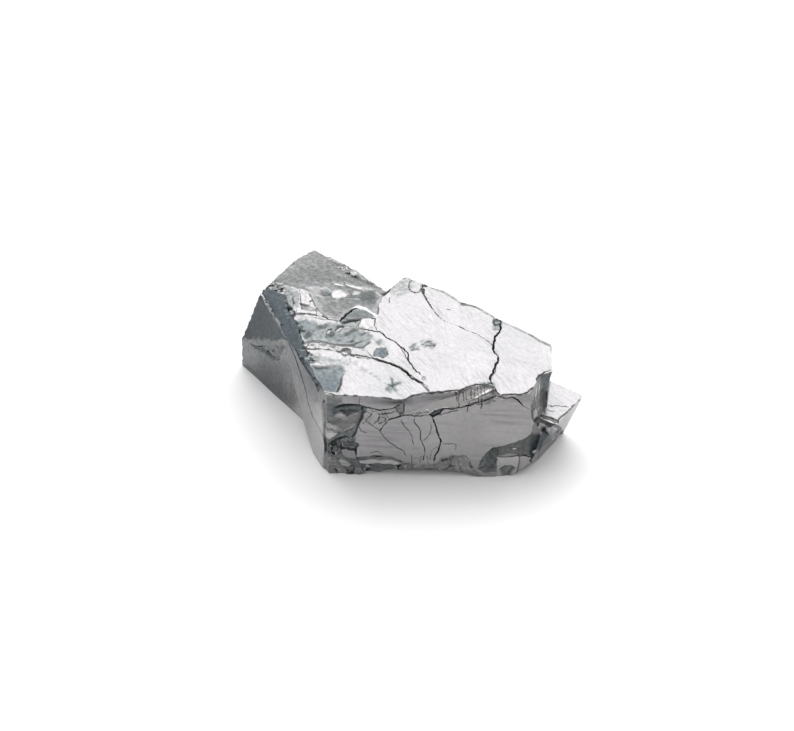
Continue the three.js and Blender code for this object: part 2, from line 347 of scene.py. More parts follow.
def jagged(line, rough, levels=3, closed=False):
    """A line with its stretches halved again and again, each new point moved aside a little."""
    line = np.array(line, float)
    if closed:
        line = np.concatenate([line, line[:1]])
    for _ in range(levels):
        step = line[1:] - line[:-1]
        side = np.stack([-step[:, 1], step[:, 0]], 1)
        middle = (line[1:] + line[:-1]) / 2 + side * RNG.uniform(-rough, rough, len(step))[:, None]
        joined = np.empty((2 * len(line) - 1, 2))
        joined[0::2] = line
        joined[1::2] = middle
        line = joined
    return line


BOWL_REACH = 1.1     # points further off than this, in radii, are left out early
BOWL_SKIN = 1.01     # points nearer than this, in radii, take the bowl's tone
CHIP_STRETCHES = (0.7, 1.0)


class Bowl:
    """A scar left by a shell of rock: an ellipsoid's surface, with ripples round the blow."""

    def __init__(self, at, radii, axes=((1, 0, 0), (0, 1, 0), (0, 0, 1)), ripple=0.0, pitch=1.2, blow=None,
                 tone=None):
        self.tone = tone
        self.at = np.array(at, float)
        self.radii = np.array(radii, float)
        self.turn = np.array(axes, float).T
        self.ripple = ripple
        self.pitch = pitch
        self.blow = np.array(blow if blow is not None else at, float)

    def __call__(self, points):
        size = self.radii.max() * BOWL_REACH
        near = np.nonzero((np.abs(points - self.at) < size).all(1))[0]
        if not len(near):
            return points
        local = (points[near] - self.at) @ self.turn / self.radii
        r = np.linalg.norm(local, axis=1)
        reach = np.ones(len(near))
        if self.ripple:
            away = np.linalg.norm(points[near] - self.blow, axis=1)
            reach += self.ripple / self.radii.min() * np.sin(2 * math.pi * away / self.pitch)
        deeper = r < reach
        near = near[deeper]
        direction = local[deeper] / np.maximum(r[deeper], TINY)[:, None]
        points = points.copy()
        points[near] = direction * reach[deeper][:, None] * self.radii @ self.turn.T + self.at
        return points

    def covers(self, points):
        local = (points - self.at) @ self.turn / self.radii
        return (np.linalg.norm(local, axis=1) < BOWL_SKIN).astype(float)


def chip(at, outward, width, depth, along=None, stretch=None, ripple=0.0, pitch=0.6, tone=None):
    """A shallow bowl, width across and depth deep, broken out where at lies on the surface."""
    outward = np.array(outward, float)
    outward /= np.linalg.norm(outward)
    side = np.array(along if along is not None else RNG.normal(size=3), float)
    side -= outward * (side @ outward)
    side /= np.linalg.norm(side)
    half = width / 2
    radius = (half ** 2 + depth ** 2) / (2 * depth)
    centre = np.array(at) + outward * (radius - depth)
    across = np.cross(outward, side)
    stretch = stretch or RNG.uniform(*CHIP_STRETCHES)
    blow = np.array(at) + side * half
    radii = (radius, radius * stretch, radius)
    return Bowl(centre, radii, [side, across, outward], ripple, pitch, blow, tone)


def shell(pixel, width, depth, lean=(0.0, 0.0), along=None, **more):
    """A chip whose middle the camera sees at a pixel. along is a second pixel, along its length."""
    at, normal = hit(pixel)
    chart = Chart(at, normal)
    outward = normal + lean[0] * chart.u + lean[1] * chart.v
    if along is not None:
        along = chart.spot(along) - at
    return chip(at, outward, width, depth, along, **more)


DARK_CRACK = 0.22      # depth from which a crack's painted shade is as dark as it gets
CRACK_TIP = 0.3        # a crack starts with this share of its width
CRACK_TAPER = 8        # and gains this many times its width over its whole length, until it is full
CRACK_UNEVEN = 0.2     # its width changes by this share, with the product of two waves along it
CRACK_WAVES = (23, 51)


class Crack:
    """A V-shaped groove along a jagged line on a facet, thinner towards its ends.

    It cuts what lies between over above the facet and under below it, and fades out over sink.
    """

    tone = None

    def __init__(self, chart, pixels, width=0.2, depth=0.25, rough=0.09, seen_at=0.0, sink=1.2, under=0.5,
                 over=1.0):
        self.chart = chart
        self.under = under
        self.over = over
        self.line = jagged(chart.seen(pixels, seen_at), rough)
        self.half = width / 2
        self.depth = depth
        self.sink = sink
        # how dark the painted shade in this crack's groove gets
        self.darkness = min(1.0, depth / DARK_CRACK)
        self.phase = RNG.uniform(0, 2 * math.pi, 2)

    def groove(self, points):
        u, v, h = self.chart.read(points)
        near, d, along = near_line(u, v, self.line, self.half)
        taper = np.clip(np.minimum(along, 1 - along) * CRACK_TAPER + CRACK_TIP, 0, 1)
        first, second = (np.sin(along * wave + phase) for wave, phase in zip(CRACK_WAVES, self.phase))
        taper *= 1 - CRACK_UNEVEN + CRACK_UNEVEN * first * second
        fade = smooth(1 + (h[near] + self.under) / self.sink) * (h[near] < self.over)
        profile = np.clip(1 - d / (self.half * taper), 0, 1) * taper
        return near, profile * fade

    def __call__(self, points):
        near, profile = self.groove(points)
        return pushed(points, near, self.chart.n, -profile * self.depth)


FADE_DEPTH = 0.4    # a region fades out from this far below its facet


class Region:
    """A jagged outline on a facet, from pixels that are read at the height seen_at over it.

    A point's share is 1 inside it, 0 outside and in between at its rim, which is soft mm wide. It
    takes in what lies less than rise above the facet, and fades out over sink below it. Each kind
    says in lift() how far points with a full share move outward.
    """

    def __init__(self, chart, pixels, seen_at=0.0, rough=0.08, levels=2, soft=0.1, sink=1.5, rise=1.0,
                 tone=None):
        self.chart = chart
        self.rise = rise
        self.tone = tone
        self.line = jagged(chart.seen(pixels, seen_at), rough, levels, closed=True)
        self.soft = soft
        self.sink = sink
        self.middle = self.line[:-1].mean(0)

    def share(self, points):
        """The points that have a share in the region, their shares, and their u and v."""
        u, v, h = self.chart.read(points)
        low, high = self.line.min(0) - self.soft, self.line.max(0) + self.soft
        near = np.nonzero((u > low[0]) & (u < high[0]) & (v > low[1]) & (v < high[1])
                          & (h > -self.sink - FADE_DEPTH) & (h < self.rise))[0]
        pu, pv = u[near], v[near]
        inside = np.zeros(len(near), bool)
        for (au, av), (bu, bv) in zip(self.line[:-1], self.line[1:]):
            if av != bv:
                crossing = (pv > min(av, bv)) & (pv <= max(av, bv))
                inside ^= crossing & (pu < au + (pv - av) / (bv - av) * (bu - au))
        depth = np.where(inside, self.soft, -self.soft)
        close, d, _ = near_line(pu, pv, self.line, self.soft)
        depth[close] = np.where(inside[close], d, -d)
        share = smooth(0.5 + depth / self.soft) * smooth(1 + (h[near] + FADE_DEPTH) / self.sink)
        kept = share > 0
        return near[kept], share[kept], pu[kept], pv[kept]

    def __call__(self, points):
        near, share, u, v = self.share(points)
        return pushed(points, near, self.chart.n, self.lift(points[near], u, v) * share)

    def covers(self, points):
        near, share, _, _ = self.share(points)
        weight = np.zeros(len(points))
        weight[near] = share
        return weight


class Plate(Region):
    """A flake gone from a facet: the ground lies lower by a drop, with a tilt, or down to a floor."""

    def __init__(self, chart, pixels, drop=0.1, tilt=(0.0, 0.0), floor=None, **more):
        super().__init__(chart, pixels, **more)
        self.drop = drop
        self.floor = floor
        self.tilt = tilt

    def lift(self, points, u, v):
        sunk = self.drop + self.tilt[0] * (u - self.middle[0]) + self.tilt[1] * (v - self.middle[1])
        if self.floor:
            _, _, over = self.floor.read(points)
            sunk = sunk + np.maximum(over, 0) / (self.floor.n @ self.chart.n)
        return -np.maximum(sunk, 0)


FEWEST_PIECES = 3


class Rubble(Region):
    """Broken ground: many small flat pieces, each at its own level and tilt."""

    def __init__(self, chart, pixels, size=0.8, depth=0.35, slope=0.5, **more):
        super().__init__(chart, pixels, **more)
        low, high = self.line.min(0), self.line.max(0)
        count = max(FEWEST_PIECES, int((high - low).prod() / size ** 2))
        self.seeds = RNG.uniform(low, high, (count, 2))
        self.levels = RNG.uniform(0, depth, count)
        self.slopes = RNG.uniform(-slope, slope, (count, 2))

    def lift(self, points, u, v):
        p = np.stack([u, v], 1)
        away = np.linalg.norm(p[:, None] - self.seeds[None], axis=2)
        cell = away.argmin(1)
        sunk = self.levels[cell] + ((p - self.seeds[cell]) * self.slopes[cell]).sum(1)
        return -np.maximum(sunk, 0)


class Facet(Region):
    """A piece with a flat face of its own, which lies at a level over the chart's plane."""

    def __init__(self, chart, pixels, level=-0.2, tilt=(0.0, 0.0), **more):
        super().__init__(chart, pixels, **more)
        self.level = level
        self.tilt = tilt

    def lift(self, points, u, v):
        target = self.level + self.tilt[0] * (u - self.middle[0]) + self.tilt[1] * (v - self.middle[1])
        return target - self.chart.read(points)[2]


# Points this little below a cutting plane still take the cut's tone.
NOTCH_SKIN = 0.02
CUT_SKIN = 0.01


class Notch(Region):
    """A piece gone from the rock: inside the outline, whatever lies beyond all of the planes."""

    def __init__(self, chart, pixels, planes, **more):
        super().__init__(chart, pixels, **more)
        self.planes = planes

    def over(self, points):
        return np.min([p.read(points)[2] / (p.n @ self.chart.n) for p in self.planes], axis=0)

    def lift(self, points, u, v):
        return -np.maximum(self.over(points), 0)

    def covers(self, points):
        return super().covers(points) * (self.over(points) > -NOTCH_SKIN)


class Cut:
    """A corner of the rock gone along a plane."""

    def __init__(self, plane, tone=None):
        self.plane = plane
        self.tone = tone

    def __call__(self, points):
        return points - np.maximum(self.plane.read(points)[2], 0)[:, None] * self.plane.n

    def covers(self, points):
        return (self.plane.read(points)[2] > -CUT_SKIN).astype(float)


class Tint(Region):
    """A patch that changes the tone alone. Some are stains, others painted shade or painted highlights."""

    def __call__(self, points):
        return points


RING_SHIFT = 0.3    # rings lie up to this share of their pitch off an even spacing
RING_WAVE = 1.7     # and this quickly nearer and further


class Ripples(Region):
    """Rings round the pixel of a blow, in a region of a facet."""

    def __init__(self, chart, pixels, blow, height=0.02, pitch=0.8, **more):
        super().__init__(chart, pixels, **more)
        self.blow = chart.seen([blow])[0]
        self.height = height
        self.pitch = pitch

    def lift(self, points, u, v):
        away = np.hypot(u - self.blow[0], v - self.blow[1])
        rings = away / self.pitch
        wave = 0.5 + 0.5 * np.sin(2 * math.pi * (rings + RING_SHIFT * np.sin(rings * RING_WAVE)))
        return -self.height * wave


SWELL_COUNT = 8
SWELL_SPREAD = (0.6, 1.6)    # the sines' lengths differ by these shares
WAVE_COUNT = 6


class Swells(Region):
    """Smooth unevenness in a region of a facet: sums of sines of the place."""

    def __init__(self, chart, pixels, height=0.05, length=2.0, **more):
        super().__init__(chart, pixels, **more)
        self.k = RNG.normal(size=(SWELL_COUNT, 2))
        pace = 2 * math.pi / length * RNG.uniform(*SWELL_SPREAD, SWELL_COUNT)
        self.k *= (pace / np.linalg.norm(self.k, axis=1))[:, None]
        self.phase = RNG.uniform(0, 2 * math.pi, SWELL_COUNT)
        self.height = height / math.sqrt(SWELL_COUNT)

    def lift(self, points, u, v):
        wave = np.sin(np.stack([u, v], 1) @ self.k.T + self.phase).sum(1)
        return -self.height * wave


NUDGE_SAMPLES = 60    # points along a stretch of edge
NUDGE_BLUR = 0.4      # over this distance the moves of neighbouring points blend


class Nudge:
    """Moves a stretch of edge from one line to another, and what lies near it by less."""

    tone = None

    def __init__(self, chart, old, new, reach):
        old, new = (self.sampled(line) for line in (old, new))
        self.at = chart.place(old)
        self.shift = chart.place(new) - self.at
        self.reach = reach

    @staticmethod
    def sampled(line):
        """Evenly spaced points along a line."""
        length = np.concatenate([[0], np.cumsum(np.linalg.norm(np.diff(line, axis=0), axis=1))])
        stops = np.linspace(0, length[-1], NUDGE_SAMPLES)
        return np.stack([np.interp(stops, length, line[:, k]) for k in (0, 1)], 1)

    def __call__(self, points):
        low, high = self.at.min(0) - self.reach, self.at.max(0) + self.reach
        near = np.nonzero(((points > low) & (points < high)).all(1))[0]
        if not len(near):
            return points
        away = np.linalg.norm(points[near][:, None] - self.at[None], axis=2)
        nearest = away.min(1)
        weight = np.exp(-((away - nearest[:, None]) / NUDGE_BLUR) ** 2)
        shift = weight @ self.shift / weight.sum(1)[:, None]
        return pushed(points, near, shift, smooth(1 - nearest / self.reach))


class Waves:
    """Gentle undulation of every facet: sums of sines of the place, in three directions."""

    tone = None

    def __init__(self, height, length):
        self.k = RNG.normal(size=(WAVE_COUNT, 3))
        self.k *= (2 * math.pi / length) / np.linalg.norm(self.k, axis=1)[:, None]
        self.phase = RNG.uniform(0, 2 * math.pi, (WAVE_COUNT, 3))
        self.height = height / math.sqrt(WAVE_COUNT)

    def __call__(self, points):
        angle = points @ self.k.T
        shift = np.sin(angle[:, :, None] + self.phase).sum(1)
        return points + self.height * shift


# ---------------------------------------------------------------- the rock's features
# Outlines and lines ending in _PX are pixels of the 794 x 731 frame, read on a facet's plane.

# One pixel on each CAD facet that relief is laid out on.
LOBE_FACET_PX = (305, 265)
LEFT_FACET_PX = (262, 380)
BAND_FACET_PX = (308, 372)
STRIP_END_FACET_PX = (480, 394)
WALL_FACET_PX = (541, 392)
RIGHT_FACET_PX = (552.7, 428.6)
LOBE = facet_at(LOBE_FACET_PX)
LEFT = facet_at(LEFT_FACET_PX)
BAND = facet_at(BAND_FACET_PX)
STRIP_END = facet_at(STRIP_END_FACET_PX)
WALL = facet_at(WALL_FACET_PX)
RIGHT_FACE = facet_at(RIGHT_FACET_PX)

# The edges of the top facet, as x and y: where the cleaved planes meet, and where they have broken.
FRONT_EDGE_CLEAVED = [
    (-8.9, -13.0), (-6.5, -13.05), (-4.6, -13.05), (-1.2, -13.05), (0.3, -13.05), (1.3, -13.05),
    (1.9, -13.03), (4.1, -12.7), (7.5, -12.1), (9.3, -11.75), (10.7, -11.95), (11.9, -12.25), (12.9, -12.5),
    (14.6, -12.9), (16.3, -13.0),
]
FRONT_EDGE_BROKEN = [
    (-8.9, -12.9), (-6.5, -13.05), (-4.6, -13.2), (-1.2, -13.65), (0.3, -14.05), (1.1, -13.8), (1.9, -13.1),
    (4.1, -12.95), (7.5, -12.75), (9.0, -11.9), (10.7, -11.5), (11.7, -11.3), (12.9, -13.0), (14.6, -12.95),
    (16.3, -12.8),
]
REAR_EDGE_CLEAVED = [(1.1, 9.3), (5.3, 7.0), (12.5, 1.3), (19.7, -4.3)]
REAR_EDGE_BROKEN = [
    (1.1, 9.3), (3.9, 7.7), (6.3, 6.8), (7.7, 5.6), (8.5, 4.3), (10.0, 3.9), (12.0, 2.4), (13.1, 1.2),
    (13.8, 0.8), (15.9, -0.6), (19.8, -3.8),
]
END_EDGE_CLEAVED = [(19.7, -4.4), (19.5, -9.0)]
END_EDGE_BROKEN = [(19.9, -4.3), (19.8, -9.0)]
NUDGES = [
    Nudge(TOP, top_line(FRONT_EDGE_CLEAVED), top_line(FRONT_EDGE_BROKEN), 2.0),
    Nudge(TOP, top_line(REAR_EDGE_CLEAVED), top_line(REAR_EDGE_BROKEN), 2.5),
    Nudge(TOP, top_line(END_EDGE_CLEAVED), top_line(END_EDGE_BROKEN), 1.5),
]

# How far parts of the top lie below its facet, for reading the pixels of what lies on them.
FRONT_PLATE_DROP = 0.14
HOLLOW_DROP = 0.2
CURL_DROP = 0.25
LEFT_DROP = 0.45
GAP_DROP = 0.4
EDGE_DROP = 0.15
# The plates of the top have parted, and each lies a little lower than the main one.
FRONT_PLATE_PX = [
    (300, 346), (304, 347), (312.5, 348.5), (331, 348.6), (345, 352), (358, 354.5), (372.5, 358),
    (386, 362), (402.5, 368.8), (412, 375), (420, 381), (430, 393), (440, 410), (300, 410),
]
END_PLATE_PX = [
    (501, 318), (501, 324), (499.8, 330.5), (494.8, 336), (493.5, 344), (494, 352), (499, 358), (496, 365),
    (493.8, 372.5), (491, 376), (490, 380), (493, 386), (497, 400), (580, 400), (580, 318),
]
BACK_STRIP_PX = [
    (422, 285), (424, 295), (432, 308), (441, 318.6), (453.5, 323.6), (468.5, 330.5), (480, 335),
    (486, 339), (493.5, 344.5), (494.8, 336), (499.8, 330.5), (501, 318), (470, 290),
]
# The basin behind the crescent, whose floor carries on the lobe's plane.
BASIN_PX = [
    (306, 285), (312, 295), (317, 304), (324, 312), (338, 320), (344, 313), (350, 308.5), (357, 305),
    (366, 307.5), (377.5, 313.5), (377, 306), (381, 297), (389, 291), (392, 284), (345, 270), (315, 275),
]
BASIN_END_PX = [(360, 292), (377, 289.5), (377, 303), (370, 306.5), (361, 302)]
BASIN_FLOOR_PX = [
    (313, 297), (322, 294), (333, 286), (345, 286), (360, 290), (372, 292), (377, 297), (376, 306),
    (372, 309), (366, 307.5), (357, 305), (350, 308.5), (344, 313), (338, 320), (324, 312),
]
# The lobe at the rear left, with a lens-shaped scar, streaks and a broken rim.
LENS_PX = [
    (330, 293), (334, 290.4), (340, 290), (346, 291), (349, 294), (345, 297.5), (338, 298.8), (332, 297),
]
LENS_SHADE_PX = [(321, 289.5), (326, 288.5), (331, 291), (330.5, 295), (326, 296.5), (322, 294)]
SWIRL_PX = [(351, 294), (354, 291.5), (358, 291.3), (361, 293), (358, 295), (353, 295.3)]
STREAKS_PX = [
    [(333, 283.2), (338, 284), (344, 285.4), (343.5, 286.6), (337, 285.6), (333, 284.6)],
    [(344.5, 282.4), (352, 284.8), (360, 287.6), (367, 290.2), (360, 289.6), (351, 287), (345, 284)],
]
LOBE_SHADE_PX = [
    (268, 284), (290, 270), (310, 268), (335, 274), (352, 280), (350, 284), (335, 282), (318, 286),
    (300, 284), (285, 283),
]
LOBE_ALL_PX = [
    (262, 290), (275, 278), (300, 255), (318, 249), (340, 258), (390, 288), (378, 312), (330, 300),
]
LOBE_RIM_PX = [
    (332, 259.5), (344, 262.5), (360, 272.5), (377, 279), (386, 288), (378, 290), (364, 282), (350, 275),
    (338, 269),
]
# The hollow along the front of the basin, with the crescent behind it and curls in it.
HOLLOW_PX = [
    (294, 318.8), (308, 320.2), (320, 324.6), (332, 323), (341, 325), (352, 327), (362, 329), (366, 334),
    (362, 339), (350, 344.5), (340, 344), (325, 341), (312, 340.5), (304, 341.5), (299, 333),
]
HOLLOW_END_PX = [(294, 319), (308, 320.5), (317, 325), (313, 333), (300, 333)]
CRESCENT_FACE_PX = [
    (338, 320.5), (347, 312), (357, 305.8), (367, 308), (376.5, 314), (372, 317), (362, 318), (352, 320),
    (345, 323),
]
CRESCENT_RIM_HIGHLIGHT_PX = [
    (353, 308.6), (357.5, 305), (367, 307.5), (377, 313.6), (376, 316), (366, 310.6), (357.5, 308),
]
CRESCENT_FOOT_PX = [(340, 322), (350, 319), (361, 318.5), (359, 323), (358, 326), (350, 326), (343, 325)]
CRESCENT_PIECE_PX = [(359, 318), (366, 317), (375, 318), (374, 325), (368, 329), (360.5, 326)]
CURL_PX = [(326, 333), (329, 330.2), (332, 330), (330, 332), (327.5, 334.6)]
LONG_CURL_PX = [(335, 331), (339, 327.8), (344, 327.5), (341, 330), (337, 333)]
# Stains, smudges and dark patches on the plates, and the thin oval plate. The dark patches where
# plates tilt are painted shade.
DARK_WEDGE_PX = [
    (357, 331), (368, 331.5), (373, 335.5), (370, 342), (363, 347.5), (354, 346.5), (350, 341),
]
DARK_SQUARE_PX = [(376, 348), (386, 347.5), (388, 354), (383, 358), (374, 356)]
GREY_SMUDGE_PX = [(375, 339), (382, 338.5), (383, 344.5), (377, 345.5)]
TILTED_PATCH_PX = [
    (312, 365.5), (322, 366.5), (332, 364.5), (343.5, 366), (345.5, 371), (342, 376), (340, 385),
    (336, 391), (330, 390.5), (323, 389.5), (318, 382), (313.5, 374),
]
PATCH_FOOT_PX = [(316, 377), (330, 376), (341, 377), (339, 392), (326, 392)]
PLATE_SHADE_PX = [
    (306, 351), (318, 353.5), (330, 357), (345, 360), (352, 366), (335, 364), (318, 363), (310, 360),
]
TIP_SHADE_PX = [(388, 291), (399, 281), (412, 276), (415, 284), (410, 292), (398, 298)]
STAR_PX = [
    (390, 377), (392.5, 377), (394.5, 382.5), (400, 381.5), (396, 385.5), (396, 391), (391.5, 387),
    (386, 389.5), (389.5, 384.5),
]
SMUDGE_PX = [(409, 347), (413, 344), (417, 346), (418, 349), (413, 350), (410, 350.5)]
LONG_SMUDGE_PX = [(421, 345), (425, 341), (431, 340.5), (437, 343), (435, 347), (429, 348), (424, 347)]
DARK_RIM_PX = [
    (304, 350), (308, 351), (313, 355), (319, 358), (318, 361), (314, 363), (309, 361), (306, 356),
]
OVAL_PLATE_PX = [(347.5, 352), (352, 348.5), (360, 348), (367, 351), (373, 357), (368, 358.5), (357, 356)]
# The broken white pieces at the top's left end.
LEFT_WHITE_PX = [
    (266, 283), (273, 280), (284, 281), (297, 286), (307, 288), (312, 297), (316, 303), (323, 311),
    (330, 318), (310, 314), (296, 312.5), (291, 309), (287, 303), (284.5, 294), (275, 290.5), (267, 289),
]
LEFT_GREY_PX = [
    [(284, 291), (288, 289.5), (293, 296), (294, 303), (291, 306), (287, 300)],
    [(300, 303), (309, 304.5), (318, 310), (310, 310), (302, 308)],
    [(268, 285), (272, 283.5), (275, 287), (271, 289)],
]
LEFT_SHADE_PX = [(284, 286), (295, 288), (299.5, 299), (299, 306), (292, 309), (287, 300)]
TIP_PX = [(264, 286), (267, 282), (274, 280), (281, 282), (284, 287), (282, 291), (275, 291), (268, 290)]
# The top's left rim, the second chamfer below it, and a broken block at the rear edge.
LEFT_STEP_PX = [(296, 311.5), (310, 311), (325, 316), (338, 320), (330, 320), (318, 318.5), (305, 315)]
RUBBLE_GAP_PX = [(283, 306), (287, 304), (294, 309.5), (296, 314), (293, 319), (288.5, 318)]
SECOND_CHAMFER_PX = [
    (262, 289.5), (275, 290.5), (284, 293.5), (286.5, 304), (293, 317), (299, 333), (303, 341),
    (306.5, 351), (312, 369), (320, 384), (314, 386), (304, 368), (295, 350), (286.7, 337), (280, 326),
    (274, 317), (269.5, 309), (265.5, 301.5), (262, 294),
]
CHAMFER_CHIPS_PX = [(263, 299), (265.5, 300), (270, 307), (274, 314), (273, 318), (268, 310), (264, 303)]
REAR_BLOCK_PX = [(492.5, 327), (494, 319), (498, 315), (503, 319), (501.5, 326), (499, 330)]
SECOND_CHAMFER_REAR_PX = (284, 293)
SECOND_CHAMFER_TIP_PX = (325, 392)
SECOND_CHAMFER_FOOT_PX = (270, 310)
SECOND_CHAMFER = plane_through(
    TOP.spot(SECOND_CHAMFER_REAR_PX), TOP.spot(SECOND_CHAMFER_TIP_PX),
    CHAMFER_PLANE.spot(SECOND_CHAMFER_FOOT_PX))

# After the outline come a plate's drop and tilt, a facet's level and tilt, rubble's grain, depth
# and slope, swells' height and length, and ripples' blow, height and pitch.
PLATES = [
    Plate(TOP, FRONT_PLATE_PX, FRONT_PLATE_DROP),
    Plate(TOP, END_PLATE_PX, 0.22, (0.0, 0.01)),
    Plate(TOP, BACK_STRIP_PX, 0.2, (0.01, 0.01)),
    Facet(TOP, LEFT_WHITE_PX, -LEFT_DROP, soft=0.4, tone=1.05, seen_at=-LEFT_DROP),
    Rubble(TOP, LEFT_WHITE_PX, 1.6, 0.08, 0.06, soft=0.3, tone=1.05, seen_at=-LEFT_DROP),
    *[Plate(TOP, px, 0.15, (-0.1, -0.1), soft=0.25, tone=0.65, seen_at=-LEFT_DROP) for px in LEFT_GREY_PX],
    Tint(TOP, LEFT_SHADE_PX, soft=0.5, sink=2, tone=0.6, seen_at=-LEFT_DROP),
    Rubble(TOP, TIP_PX, 0.55, 0.2, 0.35, rough=0.2, soft=0.3, tone=0.7, seen_at=-LEFT_DROP),
    Plate(TOP, BASIN_PX, 0.0, floor=LOBE, soft=0.3, sink=8),
    # Painted shade on the basin's floor and end.
    Tint(LOBE, BASIN_FLOOR_PX, soft=0.5, tone=0.66),
    Tint(LOBE, BASIN_END_PX, soft=0.6, tone=0.48),
    Swells(LOBE, LOBE_ALL_PX, 0.010, 1.1, soft=1.0),
    Tint(LOBE, LOBE_SHADE_PX, soft=0.8, tone=0.68),
    Rubble(LOBE, LOBE_RIM_PX, 0.7, 0.16, 0.2, soft=0.4, tone=0.85),
    Plate(LOBE, LENS_PX, 0.1, (-0.08, -0.1), soft=0.35, tone=1.15),
    Plate(LOBE, LENS_SHADE_PX, 0.08, soft=0.3, tone=0.5),
    Plate(LOBE, SWIRL_PX, 0.06, (-0.06, -0.1), soft=0.25, tone=0.9),
    *[Plate(LOBE, px, 0.05, (-0.1, -0.1), soft=0.2, tone=1.2) for px in STREAKS_PX],
    # The hollow's low tones are painted shade.
    Plate(TOP, HOLLOW_PX, 0.17, (0.0, -0.07), soft=1.1, tone=0.5),
    Tint(TOP, HOLLOW_END_PX, soft=0.6, tone=0.4, seen_at=-HOLLOW_DROP),
    Swells(TOP, HOLLOW_PX, 0.04, 1.9, soft=0.8, seen_at=-HOLLOW_DROP),
    Facet(TOP, CURL_PX, -CURL_DROP, soft=0.15, tone=1.1, seen_at=-CURL_DROP),
    Facet(TOP, LONG_CURL_PX, -CURL_DROP, (0.05, 0.0), soft=0.15, tone=0.95, seen_at=-CURL_DROP),
    # The crescent's face and foot carry painted shade, and its rim a painted highlight.
    Plate(TOP, CRESCENT_FACE_PX, 0.14, (0.0, -0.12), soft=0.2, tone=0.48),
    Plate(TOP, CRESCENT_FOOT_PX, 0.2, (0.0, 0.08), soft=0.2, tone=0.6),
    Plate(TOP, CRESCENT_PIECE_PX, 0.08, (0.05, 0.0), tone=1.1),
    Tint(TOP, CRESCENT_RIM_HIGHLIGHT_PX, soft=0.2, tone=1.9),
    Plate(TOP, DARK_WEDGE_PX, 0.1, (0.03, -0.08), soft=0.6, tone=0.5),
    Plate(TOP, DARK_SQUARE_PX, 0.12, (0.0, -0.1), soft=0.15, tone=0.37),
    Tint(TOP, GREY_SMUDGE_PX, soft=0.3, tone=0.3),
    # The tilted patch and its foot carry painted shade.
    Plate(TOP, TILTED_PATCH_PX, 0.25, (-0.03, -0.09), soft=0.5, tone=0.4, seen_at=-FRONT_PLATE_DROP),
    Tint(TOP, PATCH_FOOT_PX, soft=0.6, sink=1, tone=0.34, seen_at=-FRONT_PLATE_DROP),
    Tint(TOP, PLATE_SHADE_PX, soft=0.6, tone=0.7, seen_at=-FRONT_PLATE_DROP),
    Tint(TOP, TIP_SHADE_PX, soft=0.6, tone=0.75),
    Tint(TOP, STAR_PX, rough=0.4, levels=3, soft=0.5, tone=0.42, seen_at=-FRONT_PLATE_DROP),
    Tint(TOP, SMUDGE_PX, rough=0.4, levels=3, soft=0.5, tone=0.55),
    Tint(TOP, LONG_SMUDGE_PX, rough=0.4, levels=3, soft=0.6, tone=0.6),
    Rubble(TOP, DARK_RIM_PX, 0.5, 0.15, 0.25, soft=0.3, tone=0.5, seen_at=-FRONT_PLATE_DROP),
    Plate(TOP, OVAL_PLATE_PX, 0.06, (0.0, -0.04)),
    Plate(TOP, LEFT_STEP_PX, 0.08, (0.0, 0.05)),
    Rubble(TOP, REAR_BLOCK_PX, 0.5, 0.12, 0.15, rough=0.2, soft=0.4, tone=0.7),
    Rubble(TOP, RUBBLE_GAP_PX, 0.5, 0.2, 0.25, soft=0.2, tone=0.4, seen_at=-GAP_DROP),
    Facet(SECOND_CHAMFER, SECOND_CHAMFER_PX, 0.0, tone=0.215),
    Rubble(SECOND_CHAMFER, CHAMFER_CHIPS_PX, 0.4, 0.12, 0.3, tone=0.8),
]

# Shells on the top: pixel, width, depth and lean.
TOP_SHELLS = [
    shell((328.5, 332), 1.2, 0.12, lean=(0.1, -0.1)),
    shell((339, 330), 1.6, 0.14, lean=(0.05, -0.12), stretch=0.6),
    shell((313, 345), 1.2, 0.14, lean=(0.0, -0.15)),
    shell((323, 345), 1.5, 0.16, lean=(0.05, -0.15)),
    shell((335, 347), 1.4, 0.14, lean=(-0.05, -0.15)),
    shell((306, 344), 0.9, 0.14, lean=(-0.1, -0.1)),
    shell((340, 264), 2.2, 0.2, lean=(0.1, 0.3), along=(345, 266), stretch=0.7, tone=0.7),
    shell((351, 268), 1.4, 0.25, lean=(0.1, 0.3), tone=0.6),
    shell((363, 279), 1.6, 0.25, lean=(0.1, 0.3), tone=0.7),
    shell((376, 285), 1.8, 0.3, lean=(0.1, 0.3), tone=0.6),
    shell((497, 323), 1.8, 0.5, lean=(0.2, 0.3), tone=0.45),
    shell((464, 304), 1.2, 0.35, lean=(0.1, 0.3), tone=0.5),
    shell((424, 378), 0.7, 0.12),
    shell((305, 349), 1.0, 0.2, lean=(-0.3, 0.0), tone=0.6),
    shell((309, 357), 1.1, 0.2, lean=(-0.3, 0.0), tone=0.5),
    shell((315, 377), 1.0, 0.2, lean=(-0.3, 0.0), tone=0.6),
    shell((319, 385), 1.0, 0.2, lean=(-0.3, 0.0), tone=0.5),
]

